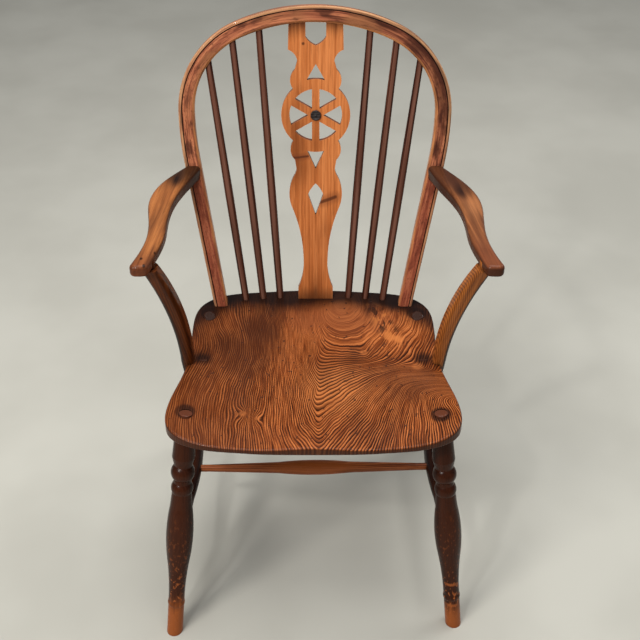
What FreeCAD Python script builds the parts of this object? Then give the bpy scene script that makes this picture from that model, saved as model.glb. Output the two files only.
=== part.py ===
"""Wheelback armchair.

A saddled plank seat carries four raked, turned legs tied by an H of stretchers. A steam-bent bow
stands in the seat and holds six sticks and a splat pierced with a wheel. Two shaped arms are
screwed to the front of the bow and stand on curved supports that are let into the seat's sides.

Millimetres. +Z is up and the floor is z = 0, the chair faces -Y, and X = 0 is the middle of the
seat. Left and right are as seen from the front.
"""
import FreeCAD, Part
import math
import os
import re

import Sketcher
from FreeCAD import Placement, Rotation, Vector

# Driving sizes, by sub-part. Each one becomes a cell of the sheet, under its name.
SIZES = {
    # Fits
    "fit_gap": 0.1,              # all round a tenon, a pin or a let-in edge
    "end_gap": 0.5,              # past the end of a tenon or a screw in a blind hole
    # Seat plank
    "seat_top": 412.0,
    "seat_thickness": 38.0,
    "seat_nose_depth": 22.0,     # from the deck down to where the underside bevel starts
    "seat_rear_y": 166.0,
    "seat_rear_quarter_x": 100.0,
    "seat_rear_quarter_y": 159.5,
    "seat_shoulder_x": 165.0,
    "seat_shoulder_y": 145.0,
    "seat_corner_x": 190.8,
    "seat_corner_y": 121.0,
    "seat_side_x": 201.5,
    "seat_side_y": 70.0,
    "seat_waist_x": 201.8,
    "seat_waist_y": -22.0,
    "seat_flare_x": 211.5,
    "seat_flare_y": -76.0,
    "seat_widest_x": 223.5,
    "seat_widest_y": -138.0,
    "seat_toe_x": 217.0,
    "seat_toe_y": -179.0,
    "seat_front_corner_x": 196.0,
    "seat_front_corner_y": -197.0,
    "seat_front_quarter_x": 118.0,
    "seat_front_quarter_y": -213.8,
    "seat_front_y": -218.2,
    "bevel_front": 36.0,         # how far the underside bevel runs in, at the front
    "bevel_side": 18.0,
    "bevel_rear": 5.0,
    "dish_rear_y": 125.0,        # the dish starts here and is full depth at dish_deep_y
    "dish_deep_y": 0.0,
    "dish_depth": 10.0,
    "dish_half_width": 228.0,
    "roll_start_y": -120.0,      # from here the top rolls down to the front edge
    "roll_drop": 5.0,
    "pommel_start_y": -60.0,
    "pommel_height": 6.5,
    "pommel_half_width": 60.0,
    "seat_edge_round": 3.5,
    # Legs, by the foot on the floor and the tenon's end in the seat
    "front_leg_tenon_x": 193.0,
    "front_leg_tenon_y": -146.0,
    "front_leg_tenon_z": 408.6,
    "rear_leg_tenon_x": 175.0,
    "rear_leg_tenon_y": 90.0,
    "rear_leg_tenon_z": 412.6,
    "front_left_foot_x": 232.7,
    "front_right_foot_x": 236.0,
    "front_left_foot_y": -238.0,
    "front_right_foot_y": -222.0,
    "rear_foot_x": 225.0,
    "rear_foot_y": 216.0,
    "foot_overrun": 12.0,        # turned past the floor and sawn off level
    "ankle_radius": 13.1,
    "ankle_height": 56.0,
    "ankle_ring_width": 10.0,
    "ankle_ring_bulge": 1.0,
    "calf_height": 78.0,
    "calf_hollow": 1.1,
    "vase_low_radius": 18.5,
    "vase_low_height": 150.0,
    "vase_bulge": 3.6,
    "vase_high_radius": 17.6,
    "vase_high_height": 246.0,
    "vase_neck_radius": 15.6,
    "vase_neck_height": 272.0,
    "ring_width": 18.0,
    "ring_bulge": 2.4,
    "groove_radius": 14.0,
    "groove_width": 6.0,
    "ball_radius": 18.7,         # centred on the leg's axis
    "collar_rise": 16.0,
    "barrel_radius": 17.8,
    "front_leg_top_radius": 15.5,
    "rear_leg_top_radius": 13.6,
    "leg_shoulder_depth": 9.0,   # how far the leg's full round goes up into the seat
    "leg_tenon_radius": 10.0,
    "leg_tenon_crown": 0.8,
    "front_left_leg_lift": 7.0,  # each leg was turned by hand: how far its rings sit higher
    "front_right_leg_lift": -2.5,
    "rear_left_leg_lift": 0.0,
    "rear_right_leg_lift": 0.0,
    # Stretchers
    "stretcher_height": 158.0,
    "stretcher_tenon_length": 17.0,
    "side_stretcher_end_radius": 7.5,
    "side_stretcher_quarter_radius": 11.0,
    "side_stretcher_mid_radius": 15.5,
    "side_stretcher_swell_half": 70.0,
    "cross_stretcher_end_radius": 6.2,
    "cross_stretcher_quarter_radius": 9.8,
    "cross_stretcher_mid_radius": 13.2,
    "cross_stretcher_swell_half": 62.0,
    # Bow, in its own raked plane: rises are measured up that plane from the seat's deck
    "bow_rake": 14.0,
    "bow_front_y": 117.0,
    "bow_shift": -1.1,           # how far its feet stand to the right, and degrees it leans that way
    "bow_lean": 0.6,
    "bow_width": 25.3,
    "bow_foot_width": 22.5,      # the bow narrows from its sides down to its feet
    "bow_thickness": 20.0,
    "bow_foot_x": 157.1,
    "bow_half_width": 203.6,
    "bow_widest_rise": 331.8,
    "bow_side_radius": 515.0,
    "bow_shoulder_radius": 138.5,
    "bow_top_radius": 299.0,
    "bow_bead_width": 5.0,
    "bow_groove_width": 1.6,
    "bow_groove_depth": 1.5,
    "bow_bead_round": 2.6,
    "bow_inner_chamfer": 3.0,
    "bow_back_round": 6.0,
    "bow_tenon_radius": 9.0,
    "wedge_length": 22.0,
    "wedge_head": 3.2,
    "wedge_tip": 0.8,
    "wedge_width": 15.0,
    # Sticks: the seat holds them on an arc, the bow at these half widths
    "row_y": 149.0,
    "row_radius": 880.0,
    "row_shift": 1.3,            # how far the sticks stand to the right in the seat and in the bow
    "row_top_shift": -2.0,
    "inner_stick_seat_x": 58.9,
    "middle_stick_seat_x": 88.0,
    "outer_stick_seat_x": 118.0,
    "inner_stick_bow_x": 85.9,
    "middle_stick_bow_x": 127.3,
    "outer_stick_bow_x": 165.2,
    "stick_foot_radius": 6.0,
    "stick_top_radius": 5.4,
    "stick_belly_radius": 6.8,
    "stick_belly_rise": 190.0,
    "stick_seat_depth": 22.0,
    "stick_bow_depth": 11.0,
    "stick_parallel": 12.0,      # the stretch beside each tenon that isn't tapered
    # Splat: rises are measured up its face from the seat's deck
    "splat_shift": 3.6,
    "splat_front_y": 140.0,
    "splat_thickness": 10.0,
    "splat_seat_depth": 15.0,
    "splat_bow_depth": 8.0,
    "splat_foot_half": 29.5,
    "splat_foot_rise": 21.0,
    "splat_ear_half": 27.0,
    "splat_ear_rise": 27.0,
    "splat_waist_half": 20.3,
    "splat_waist_rise": 74.0,
    "splat_flare_bulge": 2.4,
    "splat_hip_half": 37.5,
    "splat_hip_rise": 163.0,
    "splat_hip_hollow": 4.0,
    "splat_belly_bulge": 7.6,
    "splat_neck_half": 31.0,
    "splat_neck_rise": 231.0,
    "splat_belly_rise": 223.0,
    "splat_chin_half": 33.5,
    "splat_low_lobe_rise": 247.5,
    "splat_lobe_bulge": 6.0,
    "splat_high_lobe_half": 33.0,
    "splat_high_lobe_rise": 393.0,
    "splat_cove_half": 29.0,
    "splat_cove_rise": 407.0,
    "splat_horn_half": 43.3,
    "splat_horn_rise": 424.0,
    "splat_horn_hollow": 3.2,
    "splat_prong_half": 41.7,
    "splat_notch_half": 16.0,
    "splat_notch_rise": 443.5,
    "splat_notch_bottom_rise": 430.5,
    "splat_notch_bulge": 1.8,
    # Piercings
    "wheel_rise": 321.0,
    "wheel_radius": 55.0,
    "wheel_inner_radius": 42.0,
    "wheel_lobe_share": 0.76,    # of the radius, above and below the hub, where the lobes start
    "spoke_count": 6.0,
    "spoke_width": 12.0,
    "gable_tip_rise": 402.0,
    "gable_base_rise": 377.0,
    "gable_half": 14.4,
    "gable_arch": 1.6,
    "drop_tip_rise": 232.5,
    "drop_top_rise": 262.5,
    "drop_half": 13.6,
    "drop_sag": 1.6,
    "kite_top_rise": 207.5,
    "kite_side_rise": 188.5,
    "kite_half": 12.5,
    "kite_bottom_rise": 152.5,
    "kite_bulge": 1.4,
    "button_radius": 8.2,
    "button_height": 3.2,
    "button_rim": 1.8,
    "button_dish_radius": 5.2,
    "button_dish_depth": 1.6,
    "button_pip_radius": 2.6,
    "button_spigot_radius": 5.0,
    "button_spigot_length": 6.0,
    # Arms: widths are to each side of X = 0, and the tip is where the hand rests
    "arm_top": 651.0,
    "arm_thickness": 18.5,
    "arm_bow_thickness": 24.0,
    "arm_taper_y": 10.0,         # behind this the underside drops to the thicker end
    "arm_shoulder_y": 128.0,
    "arm_shoulder_outer": 239.5,
    "arm_shoulder_inner": 200.5,
    "arm_elbow_y": 72.0,
    "arm_elbow_outer": 253.2,
    "arm_elbow_inner": 215.0,
    "arm_fore_y": 20.0,
    "arm_fore_outer": 247.5,
    "arm_fore_inner": 218.2,
    "arm_waist_y": -32.0,
    "arm_waist_outer": 244.8,
    "arm_waist_inner": 218.2,
    "arm_hand_y": -72.0,
    "arm_hand_outer": 251.0,
    "arm_hand_inner": 225.0,
    "arm_tip_y": -108.0,
    "arm_tip_outer": 261.2,
    "arm_tip_inner": 233.5,
    "arm_tip_bulge": 2.5,
    "arm_tip_round": 8.0,
    "arm_top_round": 6.5,
    "arm_under_round": 5.0,
    "left_arm_spread": 0.0,      # how far each arm stands out beyond those widths, from here on
    "right_arm_spread": 10.0,
    "arm_spread_end_y": 0.0,
    # Arm supports: x and y of the middle, with width across and depth, going up
    "support_foot_lift": 1.0,
    "support_foot_x": 199.5,
    "support_foot_y": -12.0,
    "support_foot_width": 19.0,
    "support_deck_x": 201.5,
    "support_deck_y": -20.0,
    "support_deck_width": 20.0,
    "support_knee_rise": 72.0,
    "support_knee_x": 203.0,
    "support_knee_y": -40.0,
    "support_knee_width": 22.0,
    "support_thigh_rise": 142.0,
    "support_thigh_x": 212.5,
    "support_thigh_y": -60.0,
    "support_thigh_width": 23.5,
    "support_top_x": 234.0,
    "support_top_y": -84.0,
    "support_top_width": 22.0,
    "support_depth": 25.0,
    "support_corner": 6.0,
    "support_tenon_radius": 7.5,
    "support_tenon_length": 12.0,
    # Screws
    "screw_head_radius": 4.6,
    "screw_head_depth": 3.0,
    "screw_shank_radius": 2.3,
    "screw_slot_width": 1.2,
    "screw_slot_depth": 1.0,
    "arm_screw_reach": 20.0,     # how far the screw goes into the arm
    "arm_screw_offset": 4.0,     # outwards from the middle of the bow
    "arm_screw_drop": 3.0,       # below the middle of the arm's end
    "support_screw_reach": 20.0,
    "support_screw_inset": 9.0,  # from the deck and from the underside
}

SHEET = "Sizes"
SIDES = {"left": -1, "right": 1}
STICKS = ("inner", "middle", "outer")
NODES = []

doc = FreeCAD.newDocument("WheelbackArmchair")


def make_sheet():
    """The sheet of driving sizes: names in column A, plain numbers in column B."""
    sheet = doc.addObject("Spreadsheet::Sheet", SHEET)
    for row, (name, value) in enumerate(SIZES.items(), start=1):
        sheet.set(f"A{row}", name)
        sheet.set(f"B{row}", str(value))
        sheet.setAlias(f"B{row}", name)
    doc.recompute()
    return sheet


sheet = make_sheet()


def size(expression):
    """The value of a size, or of an expression of sizes."""
    return float(sheet.evalExpression(str(expression)))


def add_size(name, value):
    """A worked-out size, as one more cell for sketches to read."""
    row = len(SIZES) + 1
    SIZES[name] = value
    sheet.set(f"A{row}", name)
    sheet.set(f"B{row}", repr(float(value)))
    sheet.setAlias(f"B{row}", name)


def work_out_sizes():
    """Lengths that follow from where the ends of the raked pieces are."""
    top = bow_rise_at(size("splat_prong_half"), -size("bow_width") / 2)
    add_size("splat_top_rise", top + size("splat_bow_depth"))
    for side in SIDES:
        for end in ("front", "rear"):
            foot, tenon = leg_ends(end, side)
            shoulder = shoulder_along(end, side)
            add_size(f"{end}_{side}_leg_length", (tenon - foot).Length)
            add_size(f"{end}_{side}_leg_shoulder", shoulder)
        front, rear = side_stretcher_ends(side)
        add_size(f"{side}_side_stretcher_length", (rear - front).Length + 2 * stretcher_bury())
        for name in STICKS:
            foot, top = stick_ends(name, side)
            buried = size("stick_seat_depth+stick_bow_depth")
            add_size(f"{side}_{name}_stick_length", (top - foot).Length + buried)
    add_size("cross_stretcher_length", (cross_end("right") - cross_end("left")).Length)
    doc.recompute()


def linked(expression):
    """The expression as another object reads it, with the sheet named before each size."""
    def name_sheet(match):
        word = match.group(0)
        return f"{SHEET}.{word}" if word in SIZES else word
    return re.sub(r"[a-z][a-z_]*", name_sheet, str(expression))


def bind(target, prop, expression):
    target.setExpression(prop, linked(expression))


def origin_plane(body, role):
    return next(plane for plane in body.Origin.OriginFeatures if plane.Role == role)


def bulge_point(start, end, bulge):
    """The middle of an arc that bows out to the right of its chord by bulge."""
    chord = end - start
    right = Vector(chord.y, -chord.x, 0).normalize()
    return (start + end) / 2 + right * bulge


def outline(body, role, name, points, raise_by=None):
    """A closed sketch on one of the body's planes.

    Each point is (x, y) or (x, y, bulge), as expressions of sizes. The bulge bows the edge that
    ends there out to the right, or to the left where it starts with a minus.
    """
    sketch = body.newObject("Sketcher::SketchObject", name)
    sketch.AttachmentSupport = [(origin_plane(body, role), "")]
    sketch.MapMode = "FlatFace"
    if raise_by:
        bind(sketch, "AttachmentOffset.Base.y", raise_by)
    places = [Vector(size(point[0]), size(point[1]), 0) for point in points]
    ends = []
    for index, point in enumerate(points):
        before = points[index - 1]
        start = places[index - 1]
        end = places[index]
        if len(point) == 2:
            edge = sketch.addGeometry(Part.LineSegment(start, end), False)
            ends.append((edge, 1, 2))
            continue
        sign = -1 if str(point[2]).startswith("-") else 1
        sag = str(point[2]).lstrip("-")
        arc = Part.Arc(start, bulge_point(start, end, sign * size(sag)), end)
        edge = sketch.addGeometry(arc, False)
        ends.append((edge, 1, 2) if sign > 0 else (edge, 2, 1))
        square = f"(({point[0]})-({before[0]}))^2+(({point[1]})-({before[1]}))^2"
        radius = f"({square})/(8*({sag}))+({sag})/2"
        constrain(sketch, radius, "Radius", edge)
    for index, (edge, first, last) in enumerate(ends):
        after = ends[(index + 1) % len(ends)]
        sketch.addConstraint(Sketcher.Constraint("Coincident", edge, last, after[0], after[1]))
        for axis, kind, line in ((0, "DistanceX", -2), (1, "DistanceY", -1)):
            place = points[index][axis]
            if str(place) == "0":
                sketch.addConstraint(Sketcher.Constraint("PointOnObject", edge, last, line))
            else:
                constrain(sketch, place, kind, -1, 1, edge, last)
    return sketch


def constrain(sketch, expression, kind, *where):
    """A measured constraint that follows an expression of sizes."""
    index = sketch.addConstraint(Sketcher.Constraint(kind, *where, size(expression)))
    bind(sketch, f"Constraints[{index}]", expression)


def new_body(label):
    body = doc.addObject("PartDesign::Body", label)
    body.Label = label
    return body


def turned(label, points):
    """A body turned about Z from a profile that starts and ends on the axis."""
    body = new_body(label)
    profile = outline(body, "XZ_Plane", f"{label}_profile", points)
    turning = body.newObject("PartDesign::Revolution", f"{label}_turning")
    turning.Profile = profile
    turning.ReferenceAxis = (profile, ["V_Axis"])
    turning.Angle = 360
    return body


def pocket(body, profile, name):
    """A cut through the whole piece, from a sketch on its face."""
    before = body.Shape.Volume
    cut = body.newObject("PartDesign::Pocket", name)
    cut.Profile = profile
    cut.Type = "ThroughAll"
    doc.recompute()
    if body.Shape.Volume >= before:
        raise RuntimeError(f"{name} cuts nothing")
    return cut


def between(start, end):
    """A frame at start with its Z axis towards end."""
    return Placement(start, Rotation(Vector(0, 0, 1), end - start))


def feature(label, shape, placement=None):
    item = doc.addObject("Part::Feature", label)
    item.Label = label
    item.Shape = shape
    if placement:
        item.Placement = placement
    return item


def cylinder(label, radius, length, placement):
    """A cylinder bound to the sheet, for a socket, a pin or a tenon."""
    item = doc.addObject("Part::Cylinder", label)
    bind(item, "Radius", radius)
    bind(item, "Height", length)
    item.Placement = placement
    return item


def cone(label, radius, top_radius, length, placement):
    item = doc.addObject("Part::Cone", label)
    bind(item, "Radius1", radius)
    bind(item, "Radius2", top_radius)
    bind(item, "Height", length)
    item.Placement = placement
    return item


def box(label, sizes, placement):
    """A box bound to the sheet, with its first corner at the placement."""
    item = doc.addObject("Part::Box", label)
    for prop, expression in zip(("Length", "Width", "Height"), sizes):
        bind(item, prop, expression)
    item.Placement = placement
    return item


def group(label, items):
    item = doc.addObject("Part::Compound", label)
    item.Label = label
    item.Links = items
    return item


def cut(label, base, tools):
    """The finished piece: its blank with every socket, slot and level cut taken out."""
    base.Label = f"{label}_blank"
    item = doc.addObject("Part::Cut", label)
    item.Base = base
    item.Tool = group(f"{label}_cuts", tools)
    item.Label = label
    return item


def fuse(label, items):
    item = doc.addObject("Part::MultiFuse", label)
    item.Shapes = items
    return item


def keep(item):
    """Marks a finished piece as a node of the chair."""
    NODES.append(item)
    return item


# Frames that more than one piece uses


def deck_z():
    return size("seat_top")


def bow_frame():
    """The bow's plane: x across, y up the rake and z out of its front face."""
    rake = Rotation(Vector(1, 0, 0), 90 - size("bow_rake"))
    lean = Rotation(Vector(0, 0, 1), -size("bow_lean"))
    return Placement(Vector(size("bow_shift"), size("bow_front_y"), deck_z()), rake * lean)


def foot_x(offset):
    """Half width at the deck of the line that runs at an offset from the bow's middle."""
    return size("bow_foot_x") + offset * size("bow_foot_width") / size("bow_width")


def bow_arcs(offset):
    """Centres, radii and turning points of half the bow, offset outwards from its middle line."""
    half = size("bow_half_width")
    widest = size("bow_widest_rise")
    top_radius = size("bow_top_radius")
    shoulder_radius = size("bow_shoulder_radius")
    side_radius = size("bow_side_radius")
    shoulder_x = half - shoulder_radius
    top_y = widest - math.sqrt((top_radius - shoulder_radius) ** 2 - shoulder_x ** 2)
    side_x = half - side_radius
    across = foot_x(offset) - side_x
    reach = side_radius + offset
    slope = math.atan2(widest, across) - math.acos(reach / math.hypot(widest, across))
    return {
        "slope": slope,
        "top": (Vector(0, top_y, 0), top_radius + offset),
        "shoulder": (Vector(shoulder_x, widest, 0), shoulder_radius + offset),
        "side": (Vector(side_x, widest, 0), side_radius + offset),
        "turn": math.atan2(widest - top_y, shoulder_x),
    }


def polar(circle, angle):
    centre, radius = circle
    return centre + Vector(radius * math.cos(angle), radius * math.sin(angle), 0)


def limb_point(rise, offset=0.0):
    """A point of the bow's straight limb, on the right, at a rise up the plane."""
    slope = bow_arcs(offset)["slope"]
    return Vector(foot_x(offset) + rise * math.tan(slope), rise, 0)


def bow_rise_at(x, offset):
    """Rise of the bow's edge, at an offset from its middle line, above a given half width."""
    arcs = bow_arcs(offset)
    for name in ("top", "shoulder"):
        centre, radius = arcs[name]
        rise = centre.y + math.sqrt(radius ** 2 - (x - centre.x) ** 2)
        if x <= polar(arcs["top"], arcs["turn"]).x or name == "shoulder":
            return rise


def bow_middle(x, rise):
    """A point inside the bow's thickness, in the chair's frame."""
    return bow_frame().multVec(Vector(x, rise, -size("bow_thickness") / 2))


def splat_frame():
    """The splat's front face: x across, y up its rake and z out of the face."""
    thickness = size("splat_thickness")
    foot = Vector(size("splat_shift"), size("splat_front_y"), deck_z())
    top = bow_middle(0, bow_rise_at(0, -size("bow_width") / 2))
    rise = top.z - foot.z
    run = top.y - foot.y
    rake = math.atan2(run, rise) - math.asin(thickness / 2 / math.hypot(run, rise))
    return Placement(foot, Rotation(Vector(1, 0, 0), 90 - math.degrees(rake)))


def leg_ends(end, side):
    """The foot on the floor and the tenon's end of one leg."""
    sign = SIDES[side]
    place = f"{end}_{side}_foot" if end == "front" else "rear_foot"
    foot = Vector(sign * size(f"{place}_x"), size(f"{place}_y"), 0)
    tenon = Vector(sign * size(f"{end}_leg_tenon_x"), size(f"{end}_leg_tenon_y"),
                   size(f"{end}_leg_tenon_z"))
    return foot, tenon


def leg_point(end, side, height):
    """Where the leg's axis is, at a height above the floor."""
    foot, tenon = leg_ends(end, side)
    return foot + (tenon - foot) * (height / tenon.z)


def shoulder_along(end, side):
    """How far up the leg its shoulder sits, inside the seat."""
    foot, tenon = leg_ends(end, side)
    underside = size("seat_top-seat_thickness")
    return (tenon - foot).Length * (underside + size("leg_shoulder_depth")) / tenon.z


def side_stretcher_ends(side):
    height = size("stretcher_height")
    return leg_point("front", side, height), leg_point("rear", side, height)


def side_stretcher_middle(side):
    front, rear = side_stretcher_ends(side)
    return (front + rear) / 2


def stick_ends(name, side):
    """A stick's foot at the deck and the point where it meets the bow's inner edge."""
    sign = SIDES[side]
    seat_x = size(f"{name}_stick_seat_x")
    radius = size("row_radius")
    seat_y = size("row_y") - radius + math.sqrt(radius ** 2 - seat_x ** 2)
    bow_x = sign * size(f"{name}_stick_bow_x") + size("row_top_shift")
    foot = Vector(sign * seat_x + size("row_shift"), seat_y, deck_z())
    return foot, bow_middle(bow_x, bow_rise_at(abs(bow_x), -size("bow_width") / 2))


def arm_spread(side, y):
    """How far the arm and its support stand out at a place along the arm."""
    reach = (size("arm_shoulder_y") - y) / (size("arm_shoulder_y") - size("arm_spread_end_y"))
    return size(f"{side}_arm_spread") * min(max(reach, 0), 1)


# Seat


SEAT_CORNERS = (
    ("seat_rear_quarter", 0, 1),
    ("seat_shoulder", 0.4, 0.9),
    ("seat_corner", 0.8, 0.6),
    ("seat_side", 1, 0),
    ("seat_waist", 1, 0),
    ("seat_flare", 1, 0),
    ("seat_widest", 1, -0.1),
    ("seat_toe", 0.9, -0.5),
    ("seat_front_corner", 0.5, -0.9),
    ("seat_front_quarter", 0, -1),
)


def seat_edge(height, inset):
    """The seat's outline at a height, drawn in by a share of the underside bevel."""
    side = size("bevel_side") * inset
    front = size("bevel_front") * inset
    rear = size("bevel_rear") * inset
    half = []
    for name, across, along in SEAT_CORNERS:
        x = size(f"{name}_x") - across * side
        y = size(f"{name}_y") - along * (rear if along > 0 else front)
        half.append(Vector(x, y, height))
    rear_middle = Vector(0, size("seat_rear_y") - rear, height)
    front_middle = Vector(0, size("seat_front_y") + front, height)
    edges = []
    for side in (1, -1):
        points = [Vector(side * point.x, point.y, height) for point in half]
        across = Vector(side, 0, 0)
        curve = Part.BSplineCurve()
        curve.interpolate([rear_middle] + points + [front_middle],
                          InitialTangent=across, FinalTangent=-across)
        knots = curve.getKnots()
        middle = knots[len(knots) // 2]
        for first, last in ((knots[0], middle), (middle, knots[-1])):
            piece = curve.copy()
            piece.segment(first, last)
            edges.append(piece.toShape())
    return Part.Wire(Part.__sortEdges__(edges))


def ramp(value, start, end):
    """0 before start and 1 past end, eased at both."""
    share = min(max((value - start) / (end - start), 0), 1)
    return share * share * (3 - 2 * share)


def saddle_height(x, y):
    """The adzed top: a level deck behind, a wide dish, a rolled front and a low pommel."""
    spread = max(1 - (x / size("dish_half_width")) ** 4, 0)
    dish = size("dish_depth") * spread * ramp(-y, -size("dish_rear_y"), -size("dish_deep_y"))
    front = -size("seat_front_y")
    roll = size("roll_drop") * max((-y + size("roll_start_y")) / (front + size("roll_start_y")), 0) ** 2
    swell = size("pommel_height") * math.exp(-(x / size("pommel_half_width")) ** 2)
    pommel = swell * ramp(-y, -size("pommel_start_y"), front)
    return deck_z() - dish - roll + pommel


def saddle_cutter():
    """Everything above the adzed surface, as one tall block."""
    margin = 30
    steps = 11
    half = size("seat_widest_x") + margin
    rear = size("seat_rear_y") + margin
    front = size("seat_front_y") - margin
    grid = []
    for row in range(steps):
        y = front + (rear - front) * row / (steps - 1)
        line = []
        for column in range(steps):
            x = half * (2 * column / (steps - 1) - 1)
            line.append(Vector(x, y, saddle_height(x, y)))
        grid.append(line)
    surface = Part.BSplineSurface()
    surface.interpolate(grid)
    return surface.toShape().extrude(Vector(0, 0, size("seat_thickness")))


def seat_blank():
    bottom = size("seat_top-seat_thickness")
    nose = size("seat_top-seat_nose_depth")
    over = 5
    underside = Part.makeLoft([seat_edge(bottom, 1), seat_edge(nose, 0)], True, True)
    rim = Part.Face(seat_edge(nose, 0)).extrude(Vector(0, 0, deck_z() + over - nose))
    plank = underside.fuse(rim).cut(saddle_cutter())
    clear = nose + size("seat_edge_round")
    top_edges = [edge for edge in plank.Edges if edge.BoundBox.ZMin > clear]
    nose_edges = [edge for edge in plank.Edges
                  if edge.BoundBox.ZLength < 0.01 and abs(edge.BoundBox.ZMin - nose) < 0.01]
    rounded = plank.makeFillet(size("seat_edge_round"), top_edges + nose_edges)
    return feature("seat_blank", rounded)


def leg_socket(end, side):
    """The stepped bore for one leg: its full round below, its tenon above."""
    foot, tenon = leg_ends(end, side)
    frame = between(foot, tenon)
    shoulder = shoulder_along(end, side)
    name = f"{end}_{side}_leg_socket"
    start = shoulder - size("seat_thickness")
    wide = cylinder(f"{name}_wide", f"{end}_leg_top_radius+fit_gap", "seat_thickness+fit_gap",
                    frame * Placement(Vector(0, 0, start), Rotation()))
    narrow = cylinder(f"{name}_narrow", "leg_tenon_radius+fit_gap", "2*seat_thickness",
                      frame * Placement(Vector(0, 0, shoulder), Rotation()))
    return fuse(name, [wide, narrow])


def limb_axis(side):
    """The bow's limb on one side, in the chair's frame: the deck point and the way down it."""
    sign = SIDES[side]
    depth = -size("bow_thickness") / 2
    deck = limb_point(0) + Vector(0, 0, depth)
    below = limb_point(-size("seat_thickness")) + Vector(0, 0, depth)
    frame = bow_frame()
    points = [frame.multVec(Vector(sign * point.x, point.y, point.z)) for point in (deck, below)]
    return points[0], (points[1] - points[0]).normalize()


def seat():
    tools = []
    for side in SIDES:
        for end in ("front", "rear"):
            tools.append(leg_socket(end, side))
        start, down = limb_axis(side)
        start = start - down * size("bow_thickness")
        tools.append(cylinder(f"{side}_bow_socket", "bow_tenon_radius+fit_gap",
                              "2*seat_thickness+bow_thickness", between(start, start + down)))
        for name in STICKS:
            foot, top = stick_ends(name, side)
            down = (foot - top).normalize()
            start = foot - down * size("stick_parallel")
            tools.append(cylinder(f"{side}_{name}_stick_socket", "stick_foot_radius+fit_gap",
                                  "stick_parallel+stick_seat_depth+end_gap",
                                  between(start, start + down)))
        tools.append(feature(f"{side}_support_notch", support_shape(side, size("fit_gap"), True)))
        for index in (0, 1):
            tools.append(support_screw_hole(side, index))
    corner = Vector(-size("splat_foot_half+fit_gap"), -size("splat_seat_depth+end_gap"),
                    -size("splat_thickness+fit_gap"))
    mortise = splat_frame() * Placement(corner, Rotation())
    tools.append(box("splat_mortise", ("2*splat_foot_half+2*fit_gap",
                                       "splat_seat_depth+end_gap+seat_thickness",
                                       "splat_thickness+2*fit_gap"), mortise))
    return keep(cut("seat", seat_blank(), tools))


# Legs and stretchers


def leg_profile(end, side):
    """Half of a leg's outline, from under its foot to the crowned end of its tenon."""
    name = f"{end}_{side}_leg"
    neck = f"vase_neck_height+{name}_lift"
    top_radius = f"{end}_leg_top_radius"
    ring_top = f"{neck}+ring_width"
    ball_foot = f"{ring_top}+groove_width"
    ball_top = f"{ball_foot}+2*sqrt(ball_radius^2-groove_radius^2)"
    return [
        ("0", "-foot_overrun"),
        ("ankle_radius", "-foot_overrun"),
        ("ankle_radius", "ankle_height"),
        ("ankle_radius", "ankle_height+ankle_ring_width", "ankle_ring_bulge"),
        ("ankle_radius", "calf_height"),
        ("vase_low_radius", "vase_low_height", "-calf_hollow"),
        ("vase_high_radius", f"vase_high_height+{name}_lift", "vase_bulge"),
        ("vase_neck_radius", neck),
        ("groove_radius", ring_top, "ring_bulge"),
        ("groove_radius", ball_foot),
        ("groove_radius", ball_top, "ball_radius-groove_radius"),
        ("barrel_radius", f"{ball_top}+collar_rise"),
        (top_radius, f"{name}_shoulder-leg_shoulder_depth"),
        (top_radius, f"{name}_shoulder"),
        ("leg_tenon_radius", f"{name}_shoulder"),
        ("leg_tenon_radius", f"{name}_length-leg_tenon_crown"),
        ("leg_tenon_radius-2*leg_tenon_crown", f"{name}_length"),
        ("0", f"{name}_length"),
    ]


def stretcher_tool(label, radius, start, end):
    """The socket for a stretcher's tenon, from a point on the way to its end."""
    reach = "2*stretcher_tenon_length+end_gap"
    return cylinder(label, f"{radius}+fit_gap", reach, between(start, end))


def leg(end, side):
    label = f"{end}_{side}_leg"
    foot, tenon = leg_ends(end, side)
    blank = turned(label, leg_profile(end, side))
    blank.Placement = between(foot, tenon)
    reach = size("ankle_radius") * 4
    corner = Vector(foot.x - reach / 2, foot.y - reach / 2, -reach)
    floor_cut = box(f"{label}_floor_cut", ("4*ankle_radius", "4*ankle_radius", "4*ankle_radius"),
                    Placement(corner, Rotation()))
    front, rear = side_stretcher_ends(side)
    near, far = (front, rear) if end == "front" else (rear, front)
    into = (near - far).normalize()
    start = near - into * (2 * size("stretcher_tenon_length") - stretcher_bury())
    socket = stretcher_tool(f"{label}_socket", "side_stretcher_end_radius", start, start + into)
    return keep(cut(label, blank, [floor_cut, socket]))


def stretcher_bury():
    """How far past a leg's axis a side stretcher's tenon ends."""
    return size("stretcher_tenon_length") / 4


def stretcher_profile(label, kind):
    """Half of a stretcher's outline: thin ends, long tapers and a swelled middle."""
    middle = f"{label}_length/2"
    swell = f"{kind}_stretcher_swell_half"
    quarter = f"{kind}_stretcher_quarter_radius"
    end = f"{kind}_stretcher_end_radius"
    tenon = "2*stretcher_tenon_length"
    return [
        ("0", "0"),
        (end, "0"),
        (end, tenon),
        (quarter, f"{middle}-{swell}"),
        (quarter, f"{middle}+{swell}", f"{kind}_stretcher_mid_radius-{quarter}"),
        (end, f"{label}_length-{tenon}"),
        (end, f"{label}_length"),
        ("0", f"{label}_length"),
    ]


def side_stretcher(side):
    label = f"{side}_side_stretcher"
    front, rear = side_stretcher_ends(side)
    along = (rear - front).normalize()
    start = front - along * stretcher_bury()
    end = rear + along * stretcher_bury()
    blank = turned(label, stretcher_profile(label, "side"))
    blank.Placement = between(start, end)
    middle = side_stretcher_middle(side)
    inwards = Vector(-SIDES[side], 0, 0)
    tip = cross_end(side) - inwards * size("end_gap")
    socket = stretcher_tool(f"{label}_socket", "cross_stretcher_end_radius", tip, middle + inwards)
    return keep(cut(label, blank, [socket]))


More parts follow.
